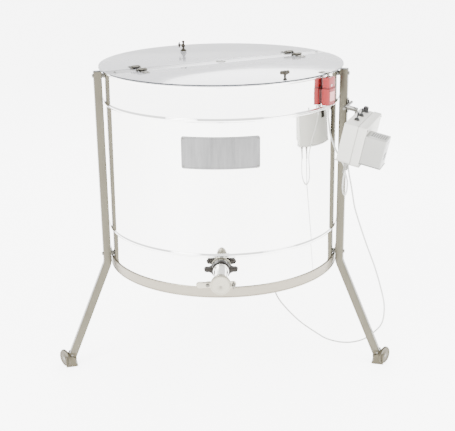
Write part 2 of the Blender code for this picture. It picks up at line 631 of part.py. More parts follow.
def gate(machine, steel, materials):
    """The outlet pipe, its union nut with lugs, and the gate: a flap that swings off the pipe's mouth."""
    towards_front = (math.pi / 2, 0, 0)
    centre = frame_empty("gate_frame", machine, (GATE_X, 0, 0))
    wall_end = DRUM_RADIUS - SHEET
    body_back = GATE_REACH - 0.052
    pipe = ring_section(PIPE_RADIUS - PIPE_WALL, PIPE_RADIUS, wall_end, body_back - GAP)
    nut_front = DRUM_RADIUS + 0.047
    thread = ring_section(PIPE_RADIUS - PIPE_WALL, PIPE_RADIUS + 0.004, nut_front + GAP, nut_front + 0.006)
    outline = [pipe[0], pipe[1], (PIPE_RADIUS, thread[1][1]), thread[1], thread[2],
               (PIPE_RADIUS, thread[2][1]),
               pipe[2], pipe[3]]
    turned("outlet_pipe", outline, steel["polished"], centre, (0, 0, PIPE_Z), towards_front, 24)

    nut_length = 0.028
    nut = [
        (PIPE_RADIUS + 0.0010, nut_front - nut_length),
        (PIPE_RADIUS + 0.007, nut_front - nut_length),
        (PIPE_RADIUS + 0.009, nut_front - nut_length + 0.003),
        (PIPE_RADIUS + 0.009, nut_front - 0.003),
        (PIPE_RADIUS + 0.007, nut_front),
        (PIPE_RADIUS + 0.0010, nut_front),
    ]
    union_nut = turned("union_nut", nut, materials["dark_metal"], centre, (0, 0, PIPE_Z), towards_front, 32)
    lug = [(0.026, -0.020), (0.042, -0.0075), *arc((0.0515, 0), 0.0080, -90, 90, 6), (0.042, 0.0075),
           (0.026, 0.020)]
    lugs = []
    for turn in (0, 180):
        lugs.append(prism(f"nut_lug_{turn}", lug, nut_front - nut_length + 0.006, nut_front - 0.006, None,
                          centre,
                          (0, 0, PIPE_Z),
                          (Matrix.Rotation(math.pi / 2, 4, "X") @ Matrix.Rotation(math.radians(turn), 4,
                                                                                  "Z")
                           ).to_euler()))
    combine(union_nut, lugs, "UNION")

    mouth = PIPE_RADIUS - PIPE_WALL
    flange_front = GATE_REACH - 0.020
    body = turned("gate_body", [(mouth, body_back), (PIPE_RADIUS + 0.002, body_back),
                                (PIPE_RADIUS + 0.002, flange_front - 0.012),
                                (0.0345, flange_front - 0.008), (0.0345, flange_front), (mouth,
                                                                                         flange_front)],
                  steel["gate"], centre, (0, 0, PIPE_Z), towards_front, 32)
    ear = [(0.029, -0.009), *arc((EAR_REACH, 0), 0.009, -90, 90, 6), (0.029, 0.009)]
    ears = []
    holes = []
    for side, turn in (("right", 0), ("left", math.pi)):
        place = Matrix.Rotation(math.pi / 2, 4, "X") @ Matrix.Rotation(turn, 4, "Z")
        ears.append(prism(f"body_ear_{side}", ear, flange_front - 0.0075, flange_front - 0.0005, None,
                          centre,
                          (0, 0, PIPE_Z), place.to_euler()))
        across = EAR_REACH if side == "right" else -EAR_REACH
        holes.append(rod(f"ear_hole_{side}", 0.0043, flange_front - 0.02, flange_front + 0.02, centre,
                         (across, 0, PIPE_Z), towards_front, 12))
    combine(body, ears, "UNION")
    combine(body, holes, "DIFFERENCE")

    pivot_x = -EAR_REACH
    flap_back = flange_front + GAP
    flap_thickness = 0.007
    pivot = frame_empty("gate_pivot", centre, (pivot_x, 0, PIPE_Z), towards_front)
    disc = [
        (0, flap_back),
        (0.0345, flap_back),
        (0.0355, flap_back + 0.0015),
        (0.0355, flap_back + flap_thickness - 0.002),
        (0.0335, flap_back + flap_thickness),
        (0, flap_back + flap_thickness),
    ]
    flap = turned("gate_flap", disc, steel["gate"], pivot, (-pivot_x, 0, 0), steps=40)
    lever = [(0.030, -0.007), *arc((-0.028, 0.0), 0.011, 270, 90, 8), (0.030, 0.007)]
    lever_part = prism("flap_lever", lever, flap_back + 0.001, flap_back + flap_thickness - 0.001, None,
                       pivot)
    slot = 0.0046
    screw_x = 2 * EAR_REACH
    hook = [(0.070, 0.013), (0.070, -0.014), (screw_x - slot, -0.0085), (screw_x - slot, slot),
            (screw_x + slot, slot),
            (screw_x + slot, -0.003), *arc((screw_x, 0.0045), 0.0095, -20, 90, 5)]
    hook_part = prism("flap_hook", hook, flap_back + 0.001, flap_back + flap_thickness - 0.001, None, pivot)
    combine(flap, [lever_part, hook_part], "UNION")
    pivot_hole = rod("flap_hole", 0.0046, flap_back - 0.01, flap_back + 0.02, pivot, steps=12)
    combine(flap, [pivot_hole], "DIFFERENCE")

    ear_back = flange_front - 0.0075
    front = flap_back + flap_thickness - 0.001
    bolt = [
        (0, ear_back - 0.004),
        (0.0070, ear_back - 0.004),
        (0.0070, ear_back - GAP),
        (0.0040, ear_back - GAP),
        (0.0040, front + GAP),
        (0.0070, front + GAP),
        (0.0060, front + 0.0035),
        (0, front + 0.0045),
    ]
    turned("gate_pivot_bolt", bolt, steel["bolt"], centre, (pivot_x, 0, PIPE_Z), towards_front, 12)
    screw = [
        (0, ear_back - 0.004),
        (0.0060, ear_back - 0.004),
        (0.0060, ear_back - GAP),
        (0.0040, ear_back - GAP),
        (0.0040, front + GAP),
        (0.0075, front + GAP),
        (0.0060, GATE_REACH - 0.002),
        (0, GATE_REACH),
    ]
    clamp = turned("gate_clamp_screw", screw, steel["bolt"], centre, (-pivot_x, 0, PIPE_Z), towards_front,
                   12)
    wing = prism("clamp_wing", wing_outline(0.026, 0.004, 0.0045), -0.002, 0.002, None, centre,
                 (-pivot_x, -front - 0.008, PIPE_Z), (0, math.pi / 2, 0))
    combine(clamp, [wing], "UNION")


def name_plate(machine, steel):
    """A thin curved plate on the drum's front, with rounded corners and nothing written on it."""
    low, high = DRUM_BOTTOM_Z + 0.482, DRUM_BOTTOM_Z + 0.597
    half_angle = 17.7
    radius = DRUM_RADIUS + GAP * 2
    outer = radius + 0.0012
    steps = 14
    section = arc((0, 0), outer, -90 - half_angle, -90 + half_angle, steps)
    section += arc((0, 0), radius, -90 + half_angle, -90 - half_angle, steps)
    plate = prism("name_plate", section, low, high, steel["plate"], machine)
    half_width = outer * math.sin(math.radians(half_angle))
    window = rounded_rectangle(2 * half_width, high - low, 0.008, 3, (0, (low + high) / 2))
    corners = prism("plate_corners", window, 0.30, 0.50, None, machine, rotation=(math.pi / 2, 0, 0))
    combine(plate, [corners], "INTERSECT")


def interlock(machine, materials, steel):
    """The red tongue switch on the wall beside the right leg, and its tongue on the front lid."""
    frame = frame_empty("switch_frame", machine, rotation=(0, 0, -math.pi / 2 + SWITCH_AZIMUTH))
    back = SWITCH_BACK
    depth = SWITCH_DEPTH
    half = 0.026
    low, high = SWITCH_BOTTOM_Z, LID_BOTTOM_Z - 0.008
    waist = low + 0.060
    lower = prism("interlock_switch", rounded_rectangle(depth, 2 * half, 0.006, 2, (back + depth / 2, 0)),
                  low, waist,
                  materials["red"], frame)
    bevelled(lower, 0.003, 1)
    upper = prism("switch_head", rounded_rectangle(depth - 0.002, 2 * half - 0.004, 0.006, 2,
                                                   (back + depth / 2, 0)),
                  waist - 0.001, high, None, frame)
    bevelled(upper, 0.002, 1)
    combine(lower, [upper], "UNION")
    slot_x = back + 0.012
    slot = block("switch_slot", (slot_x - 0.003, -0.009, high - 0.022),
                 (slot_x + 0.003, 0.009, high + 0.01), None, frame)
    mount = block("switch_mount", (DRUM_RADIUS + 2 * GAP, -0.020, low + 0.006),
                  (back + 0.002, 0.020, waist - 0.006),
                  None, frame)
    combine(lower, [mount], "UNION")
    combine(lower, [slot], "DIFFERENCE")
    gland = [(0, low - GAP), (0.009, low - GAP), (0.009, low - 0.010), (0.0065, low - 0.014),
             (0.0055, low - 0.020),
             (0, low - 0.020)]
    turned("switch_gland", gland, materials["white"], frame, (back + depth / 2, 0, 0), steps=16)

    key = block("interlock_key", (LID_RADIUS - 0.030, -0.012, LID_TOP_Z + GAP),
                (slot_x + 0.0015, 0.012, LID_TOP_Z + GAP + 0.003), steel["bolt"], frame)
    tongue = block("key_tongue", (slot_x - 0.0015, -0.007, high - 0.014),
                   (slot_x + 0.0015, 0.007, LID_TOP_Z + 0.002),
                   None, frame)
    combine(key, [tongue], "UNION")


def control_box(machine, leg_frame, materials, steel):
    """The tilted box outboard of the right leg: base, cover, speed controller, switches, knob and glands."""
    side_frame = frame_empty("box_side_frame", machine, rotation=(0, 0, BOX_ANGLE))
    box = frame_empty("box_frame", side_frame, BOX_CORNER, (0, BOX_TILT, 0))
    front, back = BOX_SPAN
    height = BOX_HEIGHT
    base_width = 0.051
    cover_width = 0.032
    base = block("box_base", (0, front, -height), (base_width, back, 0), materials["abs"], box)
    bevelled(base, 0.003)
    cover = block("box_cover", (base_width + GAP, front - 0.002, -height - 0.002),
                  (base_width + cover_width, back + 0.002, 0.002), materials["abs"], box)
    bevelled(cover, 0.004)
    outer = base_width + cover_width
    inverter = block("speed_controller", (outer + GAP, front, -0.129),
                     (outer + 0.075, front + 0.090, -0.026),
                     materials["abs"], box)
    bevelled(inverter, 0.003)

    control_u = base_width * 0.52
    boot_height = 0.0105
    boot = [
        (0, -0.002),
        (0.0105, -0.002),
        (0.0105, 0.001),
        (0.0098, 0.002),
        (0.0048, boot_height),
        (0, boot_height),
    ]
    lever = [
        (0, boot_height + GAP),
        (0.0018, boot_height + GAP + 0.0004),
        (0.0030, boot_height + GAP + 0.0024),
        (0.0030, 0.019),
        (0.0042, 0.026),
        (0.0034, 0.029),
        (0, 0.030),
    ]
    boots = []
    for name, place in (("run_switch", front + 0.075), ("direction_switch", front + 0.145)):
        boots.append(turned(f"{name}_boot", boot, None, box, (control_u, place, 0), steps=20))
        pivot = frame_empty(f"{name}_pivot", box, (control_u, place, boot_height + GAP + 0.003))
        turned(name, lever, materials["black"], pivot, (0, 0, -boot_height - GAP - 0.003), steps=12)
    combine(base, boots, "UNION")
    knob = [(0, 0), (0.0120, 0), (0.0115, 0.003), (0.0100, 0.004), (0.0092, 0.019), (0.0080, 0.021),
            (0, 0.021)]
    turned("speed_knob", knob, materials["black"], box, (control_u, front + 0.215, GAP), steps=24)

    gland = [(0, -GAP), (0.008, -GAP), (0.008, -0.008), (0.006, -0.011), (0.0050, -0.017), (0, -0.017)]
    for name, place in GLAND_PLACES.items():
        turned(name, gland, materials["grey"], box, (*place, -BOX_HEIGHT), steps=16)

    rod_radius, rod_z = BRACKET_ROD
    plate = block("box_bracket", (LEG_OUTER + GAP, -0.017, rod_z - 0.030),
                  (LEG_OUTER + 0.0033, 0.017, rod_z + 0.020),
                  steel["bolt"], leg_frame)
    bar = rod("bracket_rod", 0.0060, -0.080, 0.045, side_frame, (rod_radius, 0, rod_z), (math.pi / 2, 0, 0))
    link = block("bracket_link", (-0.0500, -0.035, 0.0005), (-0.0005, 0.000, 0.0095), None, box)
    strap = block("bracket_strap", (-0.0045, -0.035, -0.050), (-0.0005, 0.000, 0.0090), None, box)
    combine(plate, [bar, link, strap], "UNION")


def box_point(place, drop):
    """A point below a place on the box's underside, in the machine's frame."""
    frame = Matrix.Rotation(BOX_ANGLE, 4, "Z") @ Matrix.Translation(BOX_CORNER)
    frame = frame @ Matrix.Rotation(BOX_TILT, 4, "Y")
    return frame @ Vector((place[0], place[1], -BOX_HEIGHT - drop))


def smooth_route(points, fine=24):
    """Points a few millimetres apart on a smooth curve through the given ones."""
    smooth = []
    for index in range(len(points) - 1):
        before = points[max(index - 1, 0)]
        start, end = points[index], points[index + 1]
        after = points[min(index + 2, len(points) - 1)]
        for step in range(fine):
            t = step / fine
            smooth.append(
                0.5
                * (
                    2 * start
                    + (end - before) * t
                    + (2 * before - 5 * start + 4 * end - after) * t**2
                    + (3 * start - before - 3 * end + after) * t**3
                )
            )
    return [*smooth, points[-1]]


def evenly_spaced(points, count):
    """A given number of points at even distances along a path."""
    along = [0.0]
    for first, second in zip(points, points[1:]):
        along.append(along[-1] + (second - first).length)
    spaced = []
    index = 0
    for place in range(count):
        target = along[-1] * place / (count - 1)
        while index < len(points) - 2 and along[index + 1] < target:
            index += 1
        share = (target - along[index]) / (along[index + 1] - along[index])
        spaced.append(points[index].lerp(points[index + 1], min(share, 1.0)))
    return spaced


def cable(name, route, count, parent, material):
    """A round sheath along a smooth curve through the points of its route."""
    curve = bpy.data.curves.new(name, "CURVE")
    curve.dimensions = "3D"
    curve.bevel_depth = CABLE_DIAMETER / 2
    curve.bevel_resolution = 2
    curve.use_fill_caps = True
    spline = curve.splines.new("POLY")
    spline.points.add(count - 1)
    for place, point in zip(spline.points, evenly_spaced(smooth_route(route), count)):
        place.co = (*point, 1.0)
    curve.materials.append(material)
    obj = bpy.data.objects.new(name, curve)
    bpy.context.collection.objects.link(obj)
    obj.parent = parent


def cables(machine, materials):
    """The switch's cable, looping under the box, and the motor's, hanging outside the leg to the motor."""
    switch_radius = SWITCH_BACK + SWITCH_DEPTH / 2
    angle = SWITCH_AZIMUTH - math.pi / 2
    gland_end = SWITCH_BOTTOM_Z - 0.020 - GAP
    switch_end = Vector((switch_radius * math.cos(angle), switch_radius * math.sin(angle), gland_end))
    route = [
        switch_end,
        switch_end - Vector((0, 0, 0.020)),
        Vector((0.390, -0.275, 1.010)),
        Vector((0.395, -0.285, 0.976)),
        Vector((0.410, -0.298, 0.932)),
        Vector((0.428, -0.307, 0.896)),
        Vector((0.445, -0.312, 0.861)),
        Vector((0.442, -0.308, 0.814)),
        Vector((0.4405, -0.312, 0.778)),
        Vector((0.4455, -0.335, 0.764)),
        Vector((0.450, -0.358, 0.790)),
        Vector((0.4495, -0.362, 0.829)),
        box_point(GLAND_PLACES["switch_cable_gland"], GLAND_LENGTH + 0.015),
        box_point(GLAND_PLACES["switch_cable_gland"], GLAND_LENGTH + GAP),
    ]
    cable("switch_cable", route, 32, machine, materials["cable"])

    motor_end = Vector(MOTOR_GLAND) + Vector((GAP, 0, 0))
    route = [
        box_point(GLAND_PLACES["motor_cable_gland"], GLAND_LENGTH + GAP),
        box_point(GLAND_PLACES["motor_cable_gland"], GLAND_LENGTH + 0.020),
        Vector((0.462, -0.327, 0.835)),
        Vector((0.475, -0.325, 0.765)),
        Vector((0.489, -0.315, 0.699)),
        Vector((0.532, -0.290, 0.571)),
        Vector((0.573, -0.260, 0.462)),
        Vector((0.601, -0.240, 0.375)),
        Vector((0.625, -0.215, 0.283)),
        Vector((0.631, -0.185, 0.213)),
        Vector((0.627, -0.155, 0.162)),
        Vector((0.607, -0.110, 0.108)),
        Vector((0.568, -0.085, 0.063)),
        Vector((0.528, -0.080, 0.050)),
        Vector((0.478, -0.080, 0.049)),
        Vector((0.424, -0.085, 0.066)),
        Vector((0.391, -0.090, 0.087)),
        Vector((0.316, -0.100, 0.146)),
        Vector((0.258, -0.095, 0.203)),
        Vector((0.219, -0.070, 0.246)),
        Vector((0.205, -0.030, 0.270)),
        Vector((0.198, 0.050, 0.290)),
        Vector((0.185, 0.125, 0.312)),
        Vector((0.165, 0.176, 0.330)),
        Vector((0.140, 0.198, 0.341)),
        motor_end + Vector((0.015, 0, 0)),
        motor_end,
    ]
    cable("motor_cable", route, 78, machine, materials["cable"])


def build():
    clear_scene()
    steel = {
        "drum": principled("polished_stainless_drum", (0.86, 0.86, 0.84), 1.0, 0.10),
        "polished": principled("polished_stainless", (0.85, 0.85, 0.82), 1.0, 0.08),
        "satin": principled("satin_stainless", (0.66, 0.64, 0.58), 1.0, 0.35),
        "leg": principled("leg_stainless", (0.58, 0.55, 0.46), 1.0, 0.30),
        "foot": principled("foot_casting", (0.50, 0.47, 0.38), 1.0, 0.35),
        "bolt": principled("fastener_steel", (0.55, 0.54, 0.50), 1.0, 0.30),
        "gate": principled("gate_stainless", (0.70, 0.67, 0.60), 1.0, 0.35),
        "plate": principled("brushed_plate", (0.68, 0.68, 0.67), 1.0, 0.40),
    }
    materials = {
        "lid": principled("smoky_acrylic", (0.82, 0.81, 0.79), 0.0, 0.08, 0.6),
        "red": principled("red_plastic", (0.72, 0.03, 0.02), 0.0, 0.35),
        "white": principled("white_plastic", (0.88, 0.88, 0.86), 0.0, 0.40),
        "abs": principled("light_grey_plastic", (0.78, 0.78, 0.73), 0.0, 0.45),
        "grey": principled("grey_plastic", (0.45, 0.44, 0.41), 0.0, 0.45),
        "black": principled("black_plastic", (0.02, 0.02, 0.02), 0.0, 0.40),
        "rubber": principled("belt_rubber", (0.03, 0.03, 0.03), 0.0, 0.70),
        "motor": principled("motor_paint", (0.30, 0.32, 0.34), 0.2, 0.45),
        "dark": principled("dark_plastic", (0.05, 0.05, 0.05), 0.0, 0.50),
        "dark_metal": principled("dark_casting", (0.16, 0.15, 0.12), 0.9, 0.35),
        "cable": principled("cable_sheath", (0.80, 0.80, 0.78), 0.0, 0.50),
    }
    machine = frame_empty("machine", None, (0, AXIS_Y, 0))
    bar = frame_empty("bar_frame", machine, rotation=(0, 0, BAR_ANGLE))
    frames = {side: frame_empty(f"leg_frame_{side}", machine, rotation=(0, 0, angle))
              for side, angle in LEG_ANGLES.items()}

    drum_body(machine, steel)
    legs(frames, steel)
    crossbar_body(bar, steel)
    lids(bar, materials, steel)
    lid_knobs(bar, materials)
    bearings(machine, steel)
    basket(machine, steel)
    drive(machine, steel, materials)
    gate(machine, steel, materials)
    name_plate(machine, steel)
    interlock(machine, materials, steel)
    control_box(machine, frames["right"], materials, steel)
    cables(machine, materials)


build()
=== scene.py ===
from math import asin, atan2, cos, degrees, pi, radians, sin, sqrt, tan

import bmesh
import bpy
from mathutils import Matrix, Vector


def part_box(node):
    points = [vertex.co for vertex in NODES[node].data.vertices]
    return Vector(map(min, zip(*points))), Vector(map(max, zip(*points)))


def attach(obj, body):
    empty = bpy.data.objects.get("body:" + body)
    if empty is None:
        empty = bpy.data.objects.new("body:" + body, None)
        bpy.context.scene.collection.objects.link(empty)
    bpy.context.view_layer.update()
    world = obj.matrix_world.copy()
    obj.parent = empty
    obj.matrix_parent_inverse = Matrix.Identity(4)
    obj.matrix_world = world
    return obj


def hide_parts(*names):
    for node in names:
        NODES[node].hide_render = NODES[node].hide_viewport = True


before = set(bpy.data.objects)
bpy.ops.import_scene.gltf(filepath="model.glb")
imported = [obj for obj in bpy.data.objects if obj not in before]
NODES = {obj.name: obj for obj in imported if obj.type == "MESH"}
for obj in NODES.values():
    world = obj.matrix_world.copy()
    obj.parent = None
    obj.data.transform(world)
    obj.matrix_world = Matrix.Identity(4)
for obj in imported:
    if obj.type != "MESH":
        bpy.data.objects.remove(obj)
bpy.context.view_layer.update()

# Places and sizes, read from the frame
GAP = 0.0003
shell_low, shell_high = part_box("drum_shell")
band_low, band_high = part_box("base_band")
nut_low, nut_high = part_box("union_nut")
pipe_low, pipe_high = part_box("outlet_pipe")
body_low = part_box("gate_body")[0]
plate_low, plate_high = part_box("name_plate")
rear_foot_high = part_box("foot_rear")[1]
AXIS_Y = (shell_low.y + shell_high.y) / 2
REACH = (shell_high.x - shell_low.x) / 2
BEAD = 0.004
RADIUS = REACH - BEAD
SHEET = 0.0015
BOTTOM_Z = band_low.z
RIM_Z = shell_high.z
LID_BOTTOM_Z = RIM_Z + GAP
LID_TOP_Z = LID_BOTTOM_Z + 0.005
LID_RADIUS = 0.465
PIPE_Z = (pipe_low.z + pipe_high.z) / 2
GATE_X = (pipe_low.x + pipe_high.x) / 2
GATE_REACH = AXIS_Y - body_low.y + 0.02
LOWER_BEAD_Z = BOTTOM_Z + 0.161
UPPER_BEAD_Z = BOTTOM_Z + 0.653
LEG_SIZE = 0.03
LEG_CENTRE = RADIUS + 0.008 + LEG_SIZE / 2
LEG_OUTER = LEG_CENTRE + LEG_SIZE / 2
LEG_INNER = LEG_CENTRE - LEG_SIZE / 2
LEG_TOP_Z = LID_TOP_Z - 0.012
FOOT_REACH = rear_foot_high.y - AXIS_Y
LEG_END = (FOOT_REACH - 0.036, 0.042)
CHEEK_SWING = {"left": 28, "right": -28, "rear": 0}
LEG_BEND_Z = BOTTOM_Z + 0.012
BOLT_LEVELS = {"upper": RIM_Z - 0.022, "lower": BOTTOM_Z + 0.05}
BAR_WIDTH = 0.06
HINGE_STATIONS = {"left": -0.339, "right": 0.321}
HINGE_OFFSET = BAR_WIDTH / 2 + 0.0022
HINGE_RISE = 0.0065
BOX_TILT = radians(12)
BOX_CORNER = Vector((0.537, 0.0, BOTTOM_Z + 0.627))
BOX_SPAN = (-0.21, 0.04)
BOX_HEIGHT = 0.14
BASE_WIDTH = 0.051
COVER_WIDTH = 0.032
SWITCH_BACK = RADIUS + 0.006
SWITCH_DEPTH = 0.03
SWITCH_LOW = BOTTOM_Z + 0.67
SWITCH_HIGH = LID_BOTTOM_Z - 0.008
CABLE = 0.006

# Places on the control box, across and along its top
GLANDS = {"switch_cable_gland": (0.034, -0.187), "motor_cable_gland": (0.036, -0.152)}
GLAND_LENGTH = 0.017
CONTROL_ACROSS = BASE_WIDTH * 0.52
RUN_ALONG = BOX_SPAN[0] + 0.075
DIRECTION_ALONG = BOX_SPAN[0] + 0.145
DIAL_ALONG = BOX_SPAN[0] + 0.215

# Camera, its lens and sensor in millimetres
LENS = 75.4441
SENSOR = 36.0
EYE = Vector((0.0452, -3.6288 + AXIS_Y, 1.8117))
YAW, PITCH, ROLL = (radians(angle) for angle in (-0.438, 18.339, 0.723))

# Studio
SKY_STRENGTH = 2.4
FLOOR_GLOW = 5.0
FLOOR_HALF = 60.0
FLOOR_DROP = 0.0005
LIGHTS = (
    ("key", (-2.6, -3.2, 3.6), 2.4, 260),
    ("fill", (3.4, -2.2, 2.6), 2.6, 120),
    ("back", (0.5, 3.4, 3.4), 2.6, 160),
)


def turn_x(angle):
    return Matrix.Rotation(angle, 4, "X")


def turn_y(angle):
    return Matrix.Rotation(angle, 4, "Y")


def turn_z(angle):
    return Matrix.Rotation(angle, 4, "Z")


def at(x, y, z):
    return Matrix.Translation((x, y, z))


MACHINE = at(0, AXIS_Y, 0)
BAR_ANGLE = radians(27.9)
BAR = MACHINE @ turn_z(BAR_ANGLE)
LEGS = {
    "left": MACHINE @ turn_z(radians(-165.4)),
    "right": MACHINE @ turn_z(radians(-14.6)),
    "rear": MACHINE @ turn_z(radians(90)),
}
SWITCH = MACHINE @ turn_z(radians(-35))
BOX_SIDE = MACHINE @ turn_z(radians(-20))
BOX = BOX_SIDE @ at(*BOX_CORNER) @ turn_y(BOX_TILT)
GATE = MACHINE @ at(GATE_X, 0, PIPE_Z) @ turn_x(pi / 2)
OUTWARD = turn_y(pi / 2)


# Materials
def material(name, colour, metallic=0.0, roughness=0.5, mottle=0.06, grain=(60, 60, 60), depth=0.05,
        spread=0.1,
        transmission=0.0, coat=0.0):
    """A surface whose colour, roughness and bump vary with one noise, stretched along its grain."""
    made = bpy.data.materials.new(name)
    made.use_nodes = True
    tree = made.node_tree
    shader = tree.nodes["Principled BSDF"]
    shader.inputs["Metallic"].default_value = metallic
    shader.inputs["Transmission Weight"].default_value = transmission
    shader.inputs["Coat Weight"].default_value = coat
    place = tree.nodes.new("ShaderNodeTexCoord")
    stretch = tree.nodes.new("ShaderNodeMapping")
    stretch.inputs["Scale"].default_value = grain
    noise = tree.nodes.new("ShaderNodeTexNoise")
    noise.inputs["Scale"].default_value = 5.0
    noise.inputs["Detail"].default_value = 6.0
    noise.inputs["Roughness"].default_value = 0.6
    cloud = tree.nodes.new("ShaderNodeTexNoise")
    cloud.inputs["Scale"].default_value = 7.0
    cloud.inputs["Detail"].default_value = 3.0
    both = tree.nodes.new("ShaderNodeMix")
    both.inputs["Factor"].default_value = 0.4
    ramp = tree.nodes.new("ShaderNodeValToRGB")
    for stop, position, share in zip(ramp.color_ramp.elements, (0.35, 0.65), (1 - mottle, 1 + mottle)):
        stop.position = position
        stop.color = (*[min(c * share, 1) for c in colour], 1)
    rough = tree.nodes.new("ShaderNodeMapRange")
    rough.inputs["From Min"].default_value = 0.3
    rough.inputs["From Max"].default_value = 0.7
    rough.inputs["To Min"].default_value = max(roughness * (1 - spread), 0.01)
    rough.inputs["To Max"].default_value = roughness * (1 + spread)
    bump = tree.nodes.new("ShaderNodeBump")
    bump.inputs["Strength"].default_value = depth
    bump.inputs["Distance"].default_value = 0.0005
    for source, output, target, socket in (
        (place, "Object", stretch, "Vector"),
        (stretch, "Vector", noise, "Vector"),
        (place, "Object", cloud, "Vector"),
        (noise, "Fac", both, "A"),
        (cloud, "Fac", both, "B"),
        (both, "Result", ramp, "Fac"),
        (ramp, "Color", shader, "Base Color"),
        (both, "Result", rough, "Value"),
        (rough, "Result", shader, "Roughness"),
        (noise, "Fac", bump, "Height"),
        (bump, "Normal", shader, "Normal"),
    ):
        tree.links.new(source.outputs[output], target.inputs[socket])
    return made


MIRROR = material("mirror_stainless", (0.93, 0.93, 0.915), 1.0, 0.055, 0.01, (3, 3, 0.4), 0.004, 0.3)
MIRROR_FOOT = material("polished_stainless_foot", (0.9, 0.885, 0.85), 1.0, 0.1, 0.02, (8, 8, 1), 0.01, 0.3)
BAND = material("satin_band", (0.23, 0.208, 0.165), 1.0, 0.38, 0.1, (3, 3, 90), 0.1, 0.2)
SATIN = material("satin_stainless", (0.45, 0.44, 0.4), 1.0, 0.34, 0.08, (20, 20, 20), 0.08, 0.2)
TUBE = material("leg_tube_steel", (0.085, 0.078, 0.059), 1.0, 0.33, 0.14, (60, 60, 2.5), 0.12, 0.25)
# Dark plastic of the leg caps, also used for the dark bars of screw recesses on hinges and the interlock key:
# painted shade there.
CAP_AND_RECESS_SHADE = material("leg_cap_plastic_and_recess_shade", (0.06, 0.06, 0.055), 0.0, 0.5, 0.1, (60, 60, 60), 0.1)
CAST = material("foot_casting", (0.07, 0.062, 0.044), 1.0, 0.42, 0.22, (40, 40, 40), 0.35, 0.25)
FASTENER = material("fastener_steel", (0.12, 0.115, 0.1), 1.0, 0.28, 0.1, (60, 60, 60), 0.08, 0.2)
GATE_STEEL = material("gate_turned_steel", (0.31, 0.29, 0.235), 1.0, 0.3, 0.1, (50, 8, 50), 0.08, 0.2)
PIPE = material("polished_pipe", (0.8, 0.79, 0.75), 1.0, 0.12, 0.03, (20, 3, 20), 0.02, 0.3)
NUT = material("dark_nut_casting", (0.012, 0.01, 0.008), 0.7, 0.36, 0.25, (60, 60, 60), 0.25, 0.2)
PLATE = material("brushed_plate", (0.15, 0.15, 0.15), 1.0, 0.33, 0.22, (14, 14, 1.5), 0.1, 0.25)
PLATE_LINE = material("plate_etched_line", (0.1, 0.1, 0.1), 0.8, 0.5, 0.1, (60, 60, 60), 0.1)
KNOB_METAL = material("dark_knob_casting", (0.035, 0.031, 0.024), 0.8, 0.32, 0.25, (60, 60, 60), 0.2, 0.2)
ACRYLIC = material("smoky_acrylic", (0.6, 0.6, 0.63), 0.0, 0.14, 0.05, (5, 5, 5), 0.02, 0.35, 0.3, 0.3)
# Near-black material for the lid sheets' edges: painted shade, the dark line seen along the acrylic's edges.
ACRYLIC_EDGE_SHADE = material("acrylic_edge_painted_shade", (0.012, 0.014, 0.019), 0.0, 0.22, 0.15, (60, 60, 60), 0.05)
BAR_STEEL = material("crossbar_steel", (0.4, 0.4, 0.41), 1.0, 0.36, 0.06, (4, 60, 4), 0.06, 0.2)
RED = material("red_switch_plastic", (0.2, 0.001, 0.002), 0.0, 0.34, 0.08, (90, 90, 90), 0.08, 0.2)
RED_SHADE = material("switch_seam_shadow", (0.06, 0.002, 0.002), 0.0, 0.5, 0.1, (90, 90, 90), 0.08)
LABEL = material("switch_blank_label", (0.55, 0.25, 0.24), 0.0, 0.42, 0.06, (90, 90, 90), 0.04)
WHITE = material("white_gland_plastic", (0.55, 0.55, 0.53), 0.0, 0.4, 0.04, (90, 90, 90), 0.08)
CASE = material("light_grey_enclosure", (0.5, 0.495, 0.455), 0.0, 0.46, 0.05, (70, 70, 70), 0.12, 0.15)
# Dark grey for the enclosure's seam line and the drive's bottom band, also for the drive's vent slots and the
# cover's screw recesses, where it is painted shade.
CASE_DARK = material("enclosure_dark_lines_and_slot_shade", (0.1, 0.1, 0.09), 0.0, 0.5, 0.08, (70, 70, 70), 0.1)
PANEL = material("controller_face", (0.3, 0.3, 0.28), 0.0, 0.36, 0.04, (70, 70, 70), 0.05)
DISPLAY = material("dark_display", (0.012, 0.014, 0.016), 0.0, 0.16, 0.2, (40, 40, 40), 0.02)
GLAND = material("grey_gland_plastic", (0.16, 0.155, 0.14), 0.0, 0.45, 0.06, (90, 90, 90), 0.1)
BLACK = material("black_switch_plastic", (0.006, 0.006, 0.006), 0.0, 0.38, 0.2, (90, 90, 90), 0.12, 0.2)
SHEATH = material("cable_sheath", (0.4, 0.4, 0.38), 0.0, 0.5, 0.06, (40, 40, 40), 0.08)
PAINT = material("motor_paint", (0.05, 0.056, 0.062), 0.1, 0.42, 0.12, (50, 50, 50), 0.2, 0.2)
# Black plastic of the terminal box, its lead gland and the motor cable's relief, also for the motor's vent
# slots, where it is painted shade.
DARK = material("terminal_box_plastic_and_vent_shade", (0.012, 0.012, 0.012), 0.0, 0.5, 0.2, (60, 60, 60), 0.15)
BELT = material("belt_rubber", (0.01, 0.01, 0.01), 0.0, 0.7, 0.2, (80, 80, 200), 0.3)


# Mesh building
def link(name, data):
    obj = bpy.data.objects.new(name, data)
    bpy.context.scene.collection.objects.link(obj)
    return obj


